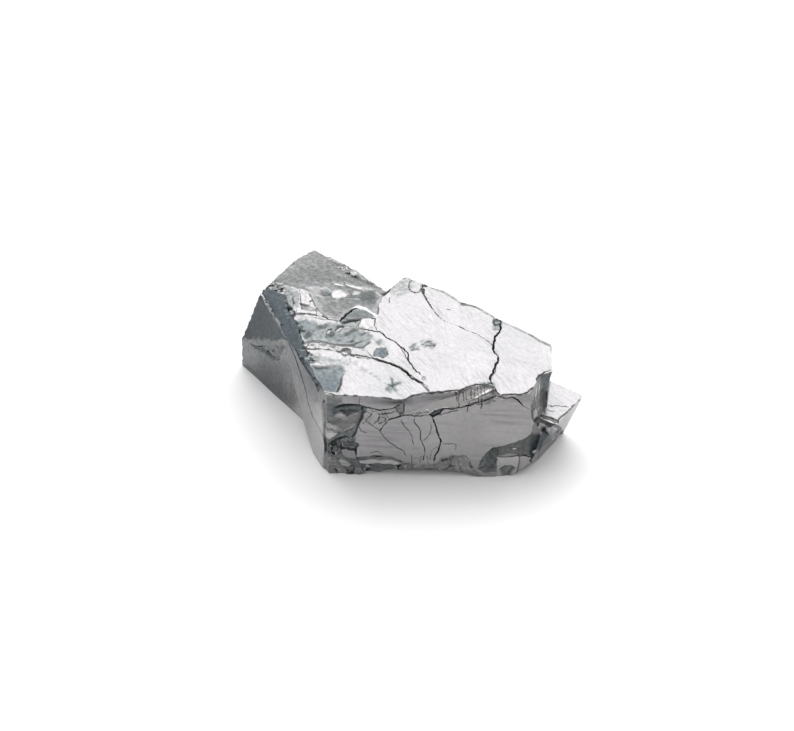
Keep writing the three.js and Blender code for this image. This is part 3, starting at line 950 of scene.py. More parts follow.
# The front left corner: glassy shells with blades of rock between them. The shells' low tones are
# partly their glassy colour and partly painted shade, and the blades' tones over 1 painted highlights.
CORNER_PX = [
    (323.5, 403), (330, 404.5), (345, 406.5), (358, 406), (363.5, 409), (363, 418), (358, 427), (353, 438),
    (350, 444), (357, 447), (356, 458), (392, 457.5), (408, 464.5), (395, 471), (360, 480), (318, 480),
    (322, 440),
]
CORNER_STAIN_PX = [(326, 396), (333, 395.5), (341, 398), (342.5, 403), (337, 406), (328, 405)]
BUMP_PX = [(333.5, 420), (336, 416), (341, 413.6), (345, 416), (346, 418.5), (341, 420)]
WIDE_BLADE_PX = [
    (333.5, 425), (340, 420.5), (347, 418.5), (356, 415), (362, 411), (362, 417), (358, 424), (352, 430),
    (345, 432.8), (334, 432),
]
UPPER_BLADE_PX = [(325, 424), (330, 424.5), (336, 427), (340, 431), (333, 432), (325, 430)]
LOWER_BLADE_PX = [(324, 432), (333, 432.6), (339, 434), (335, 438), (329, 441), (324, 440)]
CORNER_BLOCK_PX = [(341, 450.5), (347, 449.5), (355, 450.5), (357, 460.5), (350, 460), (343, 457)]
LOW_FACET_PX = [(336, 463), (341, 460.2), (345, 461), (351.5, 466), (349, 469), (340, 468)]
SPLINTERS_PX = [(331, 446), (336, 444.5), (341, 446), (340, 456), (336, 458), (332, 456)]
LOW_BAND_PX = [(358, 461.5), (375, 460), (393, 460.5), (406, 464), (395, 466), (372, 465), (360, 465)]
FOOT_GLINT_PX = [(364.5, 466), (368, 465.3), (372, 467), (369, 469), (365.5, 468.5)]
FOOT_PX = [(322, 458), (334, 459), (342, 469), (372, 471), (404, 466), (404, 474), (350, 484), (320, 480)]
CORNER = [
    Plate(FRONT, CORNER_PX, 0.45, (-0.03, 0.0), soft=0.25, tone=0.52),
    Tint(FRONT, CORNER_STAIN_PX, rough=0.3, levels=3, soft=0.5, tone=0.6),
    shell((345, 412), 5.4, 0.9, along=(362, 410), stretch=0.45, tone=0.42),
    shell((338, 446), 5.2, 1.0, along=(356, 436), stretch=0.45, tone=0.6, ripple=0.02, pitch=0.6),
    shell((329, 452), 3.0, 0.7, tone=0.48),
    shell((350, 446), 2.4, 0.7, along=(357, 445), stretch=0.5, tone=0.5),
    shell((335, 467), 3.2, 0.7, along=(345, 473), stretch=0.6, tone=0.6),
    shell((368, 464), 3.6, 0.4, along=(385, 462), stretch=0.35, tone=0.55),
    Facet(FRONT, WIDE_BLADE_PX, -0.5, (-0.1, -0.25), soft=0.4, tone=0.95),
    Facet(FRONT, BUMP_PX, -0.5, (0.15, 0.1), soft=0.35, tone=1.2),
    Facet(FRONT, UPPER_BLADE_PX, -0.4, (0.2, 0.2), soft=0.3, tone=1.3),
    Facet(FRONT, LOWER_BLADE_PX, -0.3, (0.1, 0.25), soft=0.3, tone=1.8),
    Rubble(FRONT, SPLINTERS_PX, 0.6, 0.4, 0.6, tone=0.9),
    Facet(FRONT, CORNER_BLOCK_PX, -0.15, (0.1, 0.1), soft=0.2, tone=0.95),
    Facet(FRONT, LOW_FACET_PX, -0.3, (0.1, 0.1), soft=0.25, tone=1.3),
    Facet(FRONT, LOW_BAND_PX, -0.15, (0.02, -0.1), soft=0.2, tone=1.35),
    Rubble(FRONT, FOOT_PX, 1.2, 0.4, 0.45, tone=0.82),
    Facet(FRONT, FOOT_GLINT_PX, -0.2, (0.1, 0.4), tone=1.4),
]

# The scoop at the front right, which rises to the shelf, and the block that stands at its foot.
SHELF_EDGE_LEFT_PX = (541, 417.8)
SHELF_EDGE_RIGHT_PX = (556.5, 423.6)
SCOOP_END_TIP_PX = (549, 440)
SCOOP_WALL = plane_through(
    SHELF.spot(SHELF_EDGE_LEFT_PX), SHELF.spot(SHELF_EDGE_RIGHT_PX), RIGHT_PLANE.spot(SCOOP_END_TIP_PX))
BLOCK_BROW_PX = (508, 456.8)
BLOCK_BROW_DEPTH = 0.4
RAMP = Chart(FRONT.spot(BLOCK_BROW_PX, -BLOCK_BROW_DEPTH), (0.05, -0.78, 0.62))
SCOOP_PX = [
    (471, 471), (481, 460), (492.5, 447.5), (508, 443.8), (520, 439.6), (528.5, 434), (530, 426),
    (531.8, 418), (536, 416), (541, 418), (557, 424), (566, 422), (552, 446), (534, 459), (518.5, 456.3),
    (497, 457), (497, 473), (488, 482),
]
SCOOP_WALL_PX = [(541, 416), (557, 422), (560, 420), (554, 427), (548, 427), (539, 424)]
SCOOP_END_PX = [
    (537, 421), (545, 422), (555, 424.5), (552.7, 428.6), (549.5, 435), (551, 440.5), (543.6, 446),
    (537.3, 452.3), (532, 458), (530, 450), (531, 440), (533, 430),
]
WALL_FOOT_PX = [(532.5, 402), (541.5, 402), (541, 434), (531, 434)]
SLOPE_PX = [
    (529, 434), (537, 431), (545, 432), (549.5, 435), (551, 440.5), (543.6, 446), (537.3, 452.3),
    (531.8, 458.6), (527, 452),
]
SLOPE_FOOT_PX = (531.8, 458.6)
SLOPE_TIP_PX = (549.5, 435)
SLOPE_TOP_PX = (529, 433)
SLOPE = plane_through(hit(SLOPE_FOOT_PX)[0], hit(SLOPE_TIP_PX)[0], FRONT.spot(SLOPE_TOP_PX))
BLOCK_NOTCH_PX = [(500, 470.5), (505, 467.5), (511, 467.5), (514.5, 470), (510, 477), (502, 477)]
SCOOP_CURL_PX = [
    (537.5, 425), (540, 422.6), (543.5, 423), (547.5, 426), (550, 431), (549.5, 434.5), (548, 434.5),
    (547.5, 432), (544.5, 427.5), (541, 426.5), (538.5, 428),
]
SHELF_FRONT_PX = [(543, 400), (556, 400), (570, 408), (558, 421.5), (550, 419.5), (540, 417)]
SHELF_STEP_PX = [(542, 416.3), (549.5, 418.2), (558, 421.6), (559, 426), (549, 424), (540, 420.5)]
SHELF_STEP = 0.25
WALL_STREAKS_PX = [
    [(536.3, 388), (537.5, 387), (536.8, 404), (535.5, 404)],
    [(539.5, 384), (540.5, 383), (539.2, 400), (538.2, 400)],
    [(538.3, 399), (539.5, 397), (537.6, 412), (536.3, 412)],
]
SCOOP_GLINTS_PX = [
    [(512.5, 448), (515.5, 447.3), (516, 449.5), (513, 450)],
    [(532, 450.5), (536, 449.5), (535.5, 452.5), (532.5, 454)],
    [(526, 455.5), (529, 454.8), (528.5, 457), (526, 457.5)],
]
RIPPLE_BLOW_PX = (470, 445)
RIPPLED_PX = [(481, 460), (493, 447), (498, 448), (498, 458), (497, 473), (486, 474), (478, 470)]
BLOCK_PX = [
    (497, 457), (505, 456.8), (518.5, 456.3), (519.5, 462), (518, 482), (506, 482), (494, 482), (497, 473),
]
BLOCK_SIDE_PX = [(519, 456.5), (531, 459), (534, 470), (518.5, 480)]
RIGHT_FOOT = plane_through((14.4, -15.1, 0), (17.0, -14.75, 2.1), (18.2, -12.0, 0))
GLINT_TILT = 0.7
SCOOP = [
    Facet(SHELF, SHELF_FRONT_PX, 0.0, rough=0.0, rise=0.3, sink=0.2),
    Facet(SHELF, SHELF_STEP_PX, -SHELF_STEP, sink=0.2, tone=1.1, seen_at=-SHELF_STEP),
    Notch(RAMP, SCOOP_PX, [RAMP, SCOOP_WALL], rise=9, sink=8, tone=0.72),
    Ripples(RAMP, RIPPLED_PX, RIPPLE_BLOW_PX, 0.12, 0.55, rise=3, tone=0.5),
    # The slope and the scoop's end are darkened with painted shade.
    Notch(RAMP, SLOPE_PX, [SLOPE], rise=3, sink=3, tone=0.27),
    Tint(RAMP, SCOOP_END_PX, soft=0.3, rise=3, sink=8, tone=0.45),
    Tint(RIGHT_FACE, SCOOP_END_PX, soft=0.3, rise=0.4, sink=0.4, tone=0.17),
    # The wall's foot is lightened with painted light.
    Tint(RAMP, WALL_FOOT_PX, soft=0.4, rise=4, sink=8, tone=1.35),
    Tint(SCOOP_WALL, SCOOP_WALL_PX, soft=0.3, rise=0.5, sink=0.6, tone=1.2),
    Facet(RAMP, SCOOP_CURL_PX, 0.1, (0.0, 0.5), soft=0.3, rise=3, tone=1.2),
    *[Tint(WALL, px, soft=0.15, tone=1.7) for px in WALL_STREAKS_PX],
    *[Facet(RAMP, px, 0.05, (0.0, GLINT_TILT), rise=2, tone=1.6) for px in SCOOP_GLINTS_PX],
    Plate(FRONT, BLOCK_PX, 0.2, (0.05, 0.02), tone=1.4),
    Plate(FRONT, BLOCK_SIDE_PX, 0.35, (0.35, 0.0), tone=1.2),
    Cut(RIGHT_FOOT, tone=0.95),
    Plate(FRONT, BLOCK_NOTCH_PX, 0.3, (0.1, 0.2), soft=0.4, tone=0.6),
]

# Broken ground along the front's foot and upper edge.
FRONT_FOOT_PX = [
    (408, 463), (437, 464), (441, 459), (452, 455.5), (466, 457), (472, 466), (484, 479), (440, 474),
    (408, 472),
]
UNDER_EDGE_PX = [
    (362, 406), (370, 408.5), (380, 411), (390, 410), (396, 409), (404, 411), (401, 417), (388, 421),
    (380, 431), (372, 426), (365, 421), (362, 413),
]
EDGE_NOTCH_PX = [(395, 409), (399, 404.5), (404, 404), (404, 414), (400, 416)]
RUST_EDGE_PX = [(461, 391), (471, 386.5), (492, 384), (495, 392), (480, 393.5), (466, 396)]
STRIP_STAIN_PX = [(476, 384), (484, 383), (493, 382), (494, 389), (491, 396), (485, 391), (478, 389)]
WEDGE_PX = [(429, 415), (436, 410.8), (444, 408.5), (440, 414.5), (433, 417.5)]
FRONT_GROUND = [
    Rubble(FRONT, FRONT_FOOT_PX, 0.8, 0.22, 0.25, soft=0.4, tone=0.82),
    Rubble(FRONT, UNDER_EDGE_PX, 0.9, 0.14, 0.15),
    Plate(FRONT, EDGE_NOTCH_PX, 0.25, (0.1, 0.1), soft=0.25, tone=0.75),
    # The wedge's dark tone is painted shade in its recess.
    Plate(FRONT, WEDGE_PX, 0.3, tone=0.3),
    Rubble(STRIP_END, RUST_EDGE_PX, 0.45, 0.06, 0.08, soft=0.4, tone=1.7),
    Tint(STRIP_END, STRIP_STAIN_PX, rough=0.3, levels=3, soft=0.5, tone=0.6),
]

# The left side's ledge.
LEDGE_PX = [(250, 344), (262, 346), (275, 346), (286, 345), (283, 352), (279, 361), (271, 358), (262, 351)]
LEFT_RIPPLES_PX = [(262, 366), (290, 362), (305, 400), (303, 420), (285, 402)]
LEFT_BLOW_PX = (300, 370)
LEFT_GROUND = [
    Plate(LEFT, LEDGE_PX, 0.12, (0.0, -0.08), soft=0.3, tone=0.45),
    Rubble(LEFT, LEDGE_PX, 0.6, 0.08, 0.12, soft=0.3, tone=0.45),
    Ripples(LEFT, LEFT_RIPPLES_PX, LEFT_BLOW_PX, 0.015, 0.9, soft=2.0),
]

# The hollow under the front edge and the two broad shells on the back. The hollow's low tone is
# painted shade.
SCARS = [
    Bowl((2.8, -15.9, -0.9), (9.0, 2.4, 2.2), tone=0.5),
    Bowl((14.8, 13.3, 2.0), (12, 12, 8.5), ripple=0.03, pitch=1.8, blow=(4, 8, 0)),
    Bowl((-25.0, 17.6, 1.5), (10.2, 10.2, 7), ripple=0.03, pitch=1.6, blow=(-20, 9, 0)),
]

# Cracks by name, and their widths, depths and roughness where they aren't fine ones.
TOP_CRACKS_PX = {
    "back_strip": [
        (420.5, 285), (422, 291.8), (424, 295), (426, 299), (429, 303), (432, 308), (436, 313),
        (441, 318.6), (447, 321.5), (453.5, 323.6), (461, 327.5), (468.5, 330.5), (474, 332), (480, 335),
        (486, 339), (490, 342), (493.5, 345.5),
    ],
    "end_plate": [
        (501, 320), (501, 325), (499.8, 330.5), (497, 333.5), (494.8, 336), (494, 341), (493.5, 346),
        (494.5, 352), (498.5, 357), (497.5, 362), (495, 367), (493.5, 372.5), (491, 375.5), (490, 379),
        (492.5, 384),
    ],
    "basin_rim": [
        (359.8, 328), (365, 329.3), (372, 330.3), (379.8, 331.2), (384, 335), (390, 339.5), (397.5, 343.8),
        (403, 348), (407.5, 352.5), (407.8, 357), (409.5, 362), (412.5, 366), (416, 370.5), (421, 375),
    ],
    "basin_rim_left": [(397.5, 343.8), (402, 349.5), (405, 354.5), (406.9, 358.8), (409.5, 362)],
    "front_plate": [
        (372.5, 357.6), (379, 360), (386, 362), (394, 364.5), (402.5, 368.8), (408, 373.5), (413, 378),
        (420, 381.8), (424, 384),
    ],
    "front_plate_end": [(424, 384), (428, 388.5), (431, 393)],
    "left_band": [(297, 311.5), (304, 312), (311, 313), (318, 315), (327, 318), (338, 320.3)],
    "left_band_branch": [(300.4, 290), (300.2, 296), (300.6, 302.5)],
    "left_band_rim": [(284.8, 292.5), (286, 300), (290, 306), (296, 311)],
    "front_ledge": [(304, 347.5), (312.5, 348.3), (322, 347.6), (331, 348.8), (341, 350.5), (347.5, 349)],
    "oval": [(347.5, 349), (349, 353.5), (357, 356.8), (367, 358), (372.5, 357.6)],
    "long_dash": [(389.8, 296.8), (389.5, 303)],
    "ring": [
        (412.5, 279.5), (409.3, 283), (408.8, 287), (411, 291), (415, 292.6), (419.5, 291.5), (422, 288),
        (422.5, 284), (421.5, 281),
    ],
    "back_strip_wide": [(422.5, 286), (424, 292), (426, 297), (429.5, 303), (433, 308)],
    "crescent": [(336.5, 322), (341, 318.4), (347, 313.8), (352, 310.2), (357.3, 307.8)],
    "crescent_piece": [(375, 318), (374, 325), (377, 330)],
    "dash": [(446.5, 308), (451, 309.2)],
}
TOP_CRACK_SIZES = {
    "back_strip": (0.2, 0.2, 0.12), "end_plate": (0.3, 0.35, 0.14), "basin_rim": (0.2, 0.25, 0.12),
    "front_plate": (0.27, 0.4, 0.12), "ring": (0.24, 0.1, 0.12), "back_strip_wide": (0.26, 0.15, 0.16),
    "crescent": (0.26, 0.3, 0.1), "left_band": (0.18, 0.2, 0.14),
}
FINE_TOP_CRACK = (0.12, 0.1)
SMUDGE_STROKES_PX = [
    [(408.5, 349), (413, 345), (417.5, 343.5)], [(410, 350.8), (415, 349), (420, 350)],
    [(412, 347), (415, 350.5)], [(421, 346), (427, 341.8), (433, 341)],
    [(423.5, 348), (430, 345.8), (437, 345)], [(428, 342.5), (434, 347)], [(419.5, 343), (424, 339)],
    [(430, 349), (435, 343)], [(390, 377), (392.5, 384), (396.5, 391)],
    [(385.5, 389.5), (391, 384.5), (400, 381.8)], [(394.5, 378), (392, 384), (391, 390)],
    [(388, 383), (397, 386)], [(423.4, 322), (424.7, 322.7)],
]
FRONT_CRACKS_PX = {
    "middle": [
        (432.5, 416.3), (435, 423.8), (436.9, 431), (438.8, 437.5), (441, 441), (440, 446), (437.5, 452.5),
        (435, 456), (434.4, 463.8),
    ],
    "middle_loop": [(438.8, 446), (433.8, 448.8), (431, 453.8), (430, 460)],
    "branch": [(441, 443), (448.8, 443.8), (456, 444.4), (455, 450)],
    "under_plate": [(387.5, 420.6), (394, 418.5), (400, 416.9), (410, 415), (415, 416.3), (428.8, 415)],
    "left_of_middle": [
        (414.4, 416.9), (413.8, 421), (417.5, 426), (420.6, 432.5), (420, 438.8), (423, 445), (425, 452.5),
        (423.8, 456), (421, 463.8),
    ],
    "between": [(431, 422.5), (430.6, 432.5), (426, 438.8), (423, 441)],
    "fan": [(380, 431.3), (382.5, 435), (387.5, 441), (395, 446), (403.8, 451), (406, 456)],
    "fan_up": [(380, 431.3), (375, 427.5), (366, 421), (362, 424)],
    "fan_right": [(380, 431.3), (382.5, 426), (386, 423.8), (387.5, 420.6)],
    "fan_far": [(400, 419), (403.8, 426), (408.8, 431), (412.5, 438.8), (414, 446)],
    "arc": [(358.8, 426), (361, 431), (367.5, 433)],
    "arc_low": [(370, 452.5), (377.5, 451.3), (383.8, 454.4)],
    "second_plate": [(360, 404.5), (370, 408), (380, 410.6), (392.5, 408.8), (400, 406.9)],
    "plate_parting": [(360, 396.8), (359.4, 405.6)],
    "rubble_a": [(370, 410), (377.5, 413), (380, 417.5), (378, 421), (371.9, 425.6)],
    "rubble_b": [(380, 417.5), (386, 418.8), (385, 423)],
    "rubble_c": [(383.8, 412), (387, 416), (390, 420)],
    "rubble_d": [(372, 414), (366, 421)],
    "low_ledge": [(356, 458), (368, 457), (380, 457.6), (392.5, 457.8)],
    "foot_a": [(421, 456), (420, 464)],
    "foot_b": [(427.5, 455), (428, 464)],
    "foot_c": [(411, 455), (412, 463)],
    "foot_arc": [(446, 461), (456, 456), (464, 455.5), (469, 459), (471, 468)],
}
FRONT_CRACK_SIZES = {
    "middle": (0.22, 0.25, 0.12), "under_plate": (0.17, 0.2, 0.12), "left_of_middle": (0.13, 0.15),
    "second_plate": (0.2, 0.25, 0.12), "low_ledge": (0.24, 0.3), "fan": (0.12, 0.12),
}
FINE_FRONT_CRACK = (0.11, 0.1)
STRIP_LINE_PX = [
    (430, 415.5), (436, 411.5), (443.8, 409), (452.5, 409.2), (460, 407.5), (470, 405.6), (480, 402.5),
    (491, 399), (495, 397.3), (512.5, 396.9), (517.5, 400), (530, 410),
]
STRIP_LINE_LOW_PX = [(438.8, 415.6), (447.5, 413), (460, 409.4)]
WALL_LINES_PX = [
    [(538.5, 384), (537.5, 396), (535, 411)], [(541.5, 382), (540, 398), (538, 411)],
    [(536, 390), (534, 402), (532.5, 412)],
]
STRIP_TICKS_PX = [
    [(455.5, 393), (457.5, 404)], [(459.8, 394), (458.5, 408)], [(463, 395), (464, 403)],
    [(466, 396), (467, 402)], [(469.5, 402), (467, 412)], [(472, 393), (471.5, 401)],
    [(475, 394), (474.5, 401)], [(477.5, 392), (478, 404)], [(481, 391), (480.5, 409)],
    [(484.5, 386), (485, 397)],
]
TOP_EDGE_PX = [
    (325, 392.3), (345, 394.8), (360, 396.3), (375, 397.8), (392, 399.3), (399, 401), (405, 400.4),
    (412.5, 395.4), (430, 393), (445, 392.3), (460, 391.4), (471, 386.7), (480, 385.5), (492, 384),
]
END_EDGE_PX = [
    (493, 386), (496, 391), (501, 395.3), (515, 394.2), (527.5, 392.4), (537.5, 384.3), (538.8, 375),
    (551, 369.4),
]
LOW_EDGES_PX = (TOP_EDGE_PX, END_EDGE_PX)
REAR_EDGE_PX = [
    (399, 281.5), (405, 277), (412, 278), (418, 279.5), (424, 283.5), (432, 286.5), (440, 289),
    (447, 292.5), (452, 295.5), (457, 299), (460, 301.5), (466, 303.6), (472, 304.6), (478, 306.6),
    (484, 310.6), (490, 313.6), (496, 317.6), (502, 320.6), (508, 322.6), (514, 325.6), (520, 328.6),
    (526, 331.6), (532, 334.6), (538, 338.6), (544, 341.6), (551, 345), (552.5, 352), (553, 368.7),
]
SHELF_CRACKS_PX = [
    [(548, 404.5), (552, 406.5), (556, 405.5), (562, 406.3), (569, 406.5)],
    [(546, 409.5), (550, 411), (555, 411.7)],
]
SHELF_EDGE_PX = [
    (583, 397.3), (579, 400.5), (574, 405.3), (568.5, 410.5), (563.5, 415), (557.5, 421.3), (550, 418.4),
    (542, 415.6),
]
CREASE_PX = [
    (286.7, 337), (291.7, 350), (298.9, 368.6), (304.6, 385.7), (307.4, 401.4), (313, 417), (320.3, 431.4),
    (322.4, 436.4),
]


def named_cracks(chart, lines, sizes, fine):
    return [Crack(chart, px, *sizes.get(name, fine)) for name, px in lines.items()]


CRACKS = [
    *named_cracks(TOP, TOP_CRACKS_PX, TOP_CRACK_SIZES, FINE_TOP_CRACK),
    *[Crack(TOP, px, 0.2, 0.055, 0.2) for px in SMUDGE_STROKES_PX],
    *named_cracks(FRONT, FRONT_CRACKS_PX, FRONT_CRACK_SIZES, FINE_FRONT_CRACK),
    Crack(FRONT, STRIP_LINE_PX, 0.22, 0.25),
    Crack(FRONT, STRIP_LINE_LOW_PX, 0.13, 0.14),
    *[Crack(FRONT, px, 0.15, 0.15, sink=3.0) for px in STRIP_TICKS_PX],
    Crack(TOP, REAR_EDGE_PX, 0.34, 0.1, 0.05, under=0.1, sink=0.3),
    *[Crack(WALL, px, 0.16, 0.16, over=0.15) for px in WALL_LINES_PX],
    *[Crack(SHELF, px, 0.12, 0.1) for px in SHELF_CRACKS_PX],
    Crack(SHELF, SHELF_EDGE_PX, 0.3, 0.12, under=0.1, sink=0.3),
    Crack(BAND, CREASE_PX, 0.34, 0.35),
    *[Crack(TOP, px, 0.3, 0.15, 0.12, seen_at=-EDGE_DROP, under=0.2, sink=0.2) for px in LOW_EDGES_PX],
]


# Edge chips lie where other relief moves the surface by less than UNMOVED, off the healed scars, by
# HEALED_REACH in radii, and off the foot of the bite above the shelf.
UNMOVED = 0.15
HEALED_REACH = 1.7
BITE_FOOT = (18.2, -9.8, 9.0)
BITE_REACH = 3.8
# Shorter edges have none, nor have the underside's, whose ends' heights together stay under this.
CHIPPED_LENGTH = 0.8
CHIPPED_HEIGHT = 0.2
# Along an edge the first chip lies within CHIP_START, and each is shifted by up to CHIP_SHIFT.
CHIP_START = 1.2
CHIP_SPACING = 1.0
CHIP_SHIFT = 0.3
CHIP_WIDTHS = (0.4, 1.3)
CHIP_DEPTHS = (0.08, 0.16)   # as shares of the width


def on_healed_ground(points):
    """Which points lie by a healed scar or the bite's foot."""
    near = np.zeros(len(points), bool)
    for centre, radii, turn, _ in HEALED_SCARS:
        near |= distance_in_radii(points, centre, radii, turn) < HEALED_REACH
    return near | (np.linalg.norm(points - np.array(BITE_FOOT), axis=1) < BITE_REACH)


def edge_chips(earlier):
    """Small chips here and there along every sharp edge of the CAD solid that is still in its place."""
    places = []
    for (a, b), (normal_a, normal_b) in CAD_EDGES:
        start, step = CAD_POINTS[a], CAD_POINTS[b] - CAD_POINTS[a]
        length = np.linalg.norm(step)
        if length < CHIPPED_LENGTH or start[2] + CAD_POINTS[b][2] < CHIPPED_HEIGHT:
            continue
        for place in np.arange(RNG.uniform(0, CHIP_START), length, CHIP_SPACING):
            at = start + step / length * min(place + RNG.uniform(-CHIP_SHIFT, CHIP_SHIFT), length)
            width = RNG.uniform(*CHIP_WIDTHS)
            depth = width * RNG.uniform(*CHIP_DEPTHS)
            places.append((at, normal_a + normal_b, width, depth, step))
    points = moved = np.array([place[0] for place in places])
    for relief in earlier:
        moved = relief(moved)
    kept = (np.linalg.norm(moved - points, axis=1) < UNMOVED) & ~on_healed_ground(points)
    return [chip(*place) for place, keep in zip(places, kept) if keep]


RELIEF = SCARS + SCOOP + PLATES + TOP_SHELLS + CORNER + FRONT_GROUND + LEFT_GROUND
RELIEF += edge_chips(RELIEF)
RELIEF += NUDGES
RELIEF += [Waves(0.03, 9.0), Waves(0.003, 3.0)]
RELIEF += CRACKS

# Tones of whole facets, against 1 for a plain one: a pixel on the facet, then spots with tones
# between which the tone changes gently. They are painted shade and painted reflections, darker or
# lighter by how each facet and each part of it catches the light.
FACET_SHADING = [
    ((470, 430), [(500, 425, 1.18), (450, 430, 1.15), (400, 430, 1.1), (370, 435, 1.1), (340, 400, 1.1)]),
    ((258, 325), [(258, 325, 0.21), (246, 338, 0.12), (266, 305, 0.24), (285, 330, 0.26)]),
    ((262, 380), [(246, 350, 0.68), (250, 362, 0.62), (265, 370, 0.45), (280, 385, 0.48), (290, 395, 0.72),
                  (303, 415, 1.9), (303, 425, 2.0)]),
    ((308, 372), [(292, 350, 0.42), (303, 370, 0.45), (312, 385, 0.46), (315, 397, 0.66), (318, 410, 1.5),
                  (321, 425, 1.7), (300, 395, 0.9), (305, 410, 1.3), (319, 440, 1.7), (321, 460, 1.7)]),
    ((306, 425), [(306, 425, 1.3), (312, 450, 1.5)]),
    ((575, 408), [(575, 408, 1.2), (550, 445, 1.1)]),
    ((300, 270), [(300, 262, 0.8), (330, 265, 0.8), (370, 285, 0.75)]),
    ((455, 400), [(455, 400, 2.0)]),
    ((480, 394), [(480, 394, 1.9)]),
    ((500, 394), [(500, 394, 1.6)]),
    ((545, 385), [(545, 385, 0.42)]),
    ((541, 392), [(535, 395, 1.1), (538, 400, 0.95), (543, 385, 0.5), (546, 400, 0.48), (537, 412, 0.65)]),
    ((541, 400), [(536, 403, 1.0), (539, 402, 0.8), (545, 400, 0.48)]),
    ((537, 410), [(534, 410, 0.5), (545, 410, 0.4)]),
]
FACES_ALIKE = 0.85    # a point belongs to a facet if they face this nearly the same way
ON_FACET = 0.03       # and if it lies this close to the facet's plane
SPOT_BLUR = 0.3       # square millimetres; a spot's tone holds to the root of this distance from it
CRACK_SHADE_SPREAD = 2      # a crack's painted shade is full below 1 / this number of its depth

BOX_LOW, BOX_HIGH = (np.array(corner) / MM + SHIFT for corner in CAD_BOX)


def carve(points):
    """Where all relief moves the points of the CAD surface, inside the CAD model's box."""
    for relief in RELIEF:
        points = relief(points)
    return np.clip(points, BOX_LOW, BOX_HIGH)


def tones(points, normals):
    """Each point's tone, its facet's painted shading or that of the last relief over it, and the painted
    shade in cracks.
    """
    tone = np.ones(len(points))
    crack_shade = np.zeros(len(points))
    best = np.full(len(points), FACES_ALIKE)
    for pixel, spots in FACET_SHADING:
        chart = facet_at(pixel)
        u, v, h = chart.read(points)
        at = chart.seen([spot[:2] for spot in spots])
        weight = 1 / (SPOT_BLUR + (u[:, None] - at[:, 0]) ** 2 + (v[:, None] - at[:, 1]) ** 2) ** 2
        blended = weight @ np.array([spot[2] for spot in spots]) / weight.sum(1)
        facing = normals @ chart.n
        own = (np.abs(h) < ON_FACET) & (facing > best)
        tone[own] = blended[own]
        best[own] = facing[own]
    for relief in RELIEF:
        if relief.tone is not None:
            weight = relief.covers(points)
            tone = tone * (1 - weight) + relief.tone * weight
        if isinstance(relief, Crack):
            near, profile = relief.groove(points)
            # painted shade in the crack's groove, darkest along its line
            crack_shade[near] = np.maximum(crack_shade[near], np.minimum(profile * CRACK_SHADE_SPREAD, 1) * relief.darkness)
        points = relief(points)
    return tone, crack_shade


# ---------------------------------------------------------------- the refined surface

def edges_of(triangles):
    """Each edge once, and for each triangle the numbers of its three edges 01, 12 and 20."""
    pairs = np.concatenate([triangles[:, [0, 1]], triangles[:, [1, 2]], triangles[:, [2, 0]]])
    pairs.sort(axis=1)
    edges, number = np.unique(pairs, axis=0, return_inverse=True)
    return edges, number.reshape(3, -1).T


def split(triangles, edge_of, marked, length, first_new):
    """Triangles with their marked edges halved, the longest first, so that none gets thin."""
    while True:
        touched = marked[edge_of].any(1)
        longest = np.take_along_axis(edge_of, length[edge_of].argmax(1)[:, None], 1)[:, 0]
        missing = touched & ~marked[longest]
        if not missing.any():
            break
        marked[longest[missing]] = True
    middle = np.full(len(marked), -1)
    middle[marked] = first_new + np.arange(marked.sum())
    turn = length[edge_of].argmax(1)[:, None]
    order = (turn + np.arange(3)) % 3
    tri = np.take_along_axis(triangles, order, 1)
    mid = middle[np.take_along_axis(edge_of, order, 1)]
    whole = mid[:, 0] < 0
    a, b, c = tri.T
    ab, bc, ca = mid.T
    one_side = ~whole & (ca < 0)
    two_side = ~whole & (ca >= 0)
    parts = [np.stack([a, ab, c], 1)[one_side]]
    parts += [np.stack([a, ab, ca], 1)[two_side], np.stack([ca, ab, c], 1)[two_side]]
    one_side = ~whole & (bc < 0)
    two_side = ~whole & (bc >= 0)
    parts += [np.stack([ab, b, c], 1)[one_side]]
    parts += [np.stack([ab, b, bc], 1)[two_side], np.stack([ab, bc, c], 1)[two_side]]
    return np.concatenate([triangles[whole]] + parts), marked


# The mesh gets finer this close to a crack, and between these heights over its facet.
CRACK_REACH = 1.2
CRACK_HEIGHTS = (-1.3, 0.5)


def crack_distance(points):
    """How far each point lies from the nearest crack's line, up to CRACK_REACH."""
    distance = np.full(len(points), CRACK_REACH)
    for crack in CRACKS:
        u, v, h = crack.chart.read(points)
        near, d, _ = near_line(u, v, crack.line, CRACK_REACH)
        level = (h[near] > CRACK_HEIGHTS[0]) & (h[near] < CRACK_HEIGHTS[1])
        d = np.where(level, d, CRACK_REACH)
        distance[near] = np.minimum(distance[near], d)
    return distance


# Longest edge, shortest edge that may be halved, and how far the surface may bend between ends.
REFINING = [
    (6.0, 1.0, 0.05), (4.0, 0.8, 0.05), (2.5, 0.6, 0.03), (1.6, 0.4, 0.02), (1.2, 0.3, 0.015),
    (0.9, 0.2, 0.012), (0.8, 0.14, 0.010), (0.8, 0.12, 0.011), (0.8, 0.12, 0.018),
]
UNDERSIDE = 0.01           # below this height a point lies on the underside
UNDERSIDE_COARSER = 3.0    # and the mesh is this much coarser there
CRACK_SHORTEST = 1.3       # an edge by a crack is halved if it is longer than this, in shortest edges


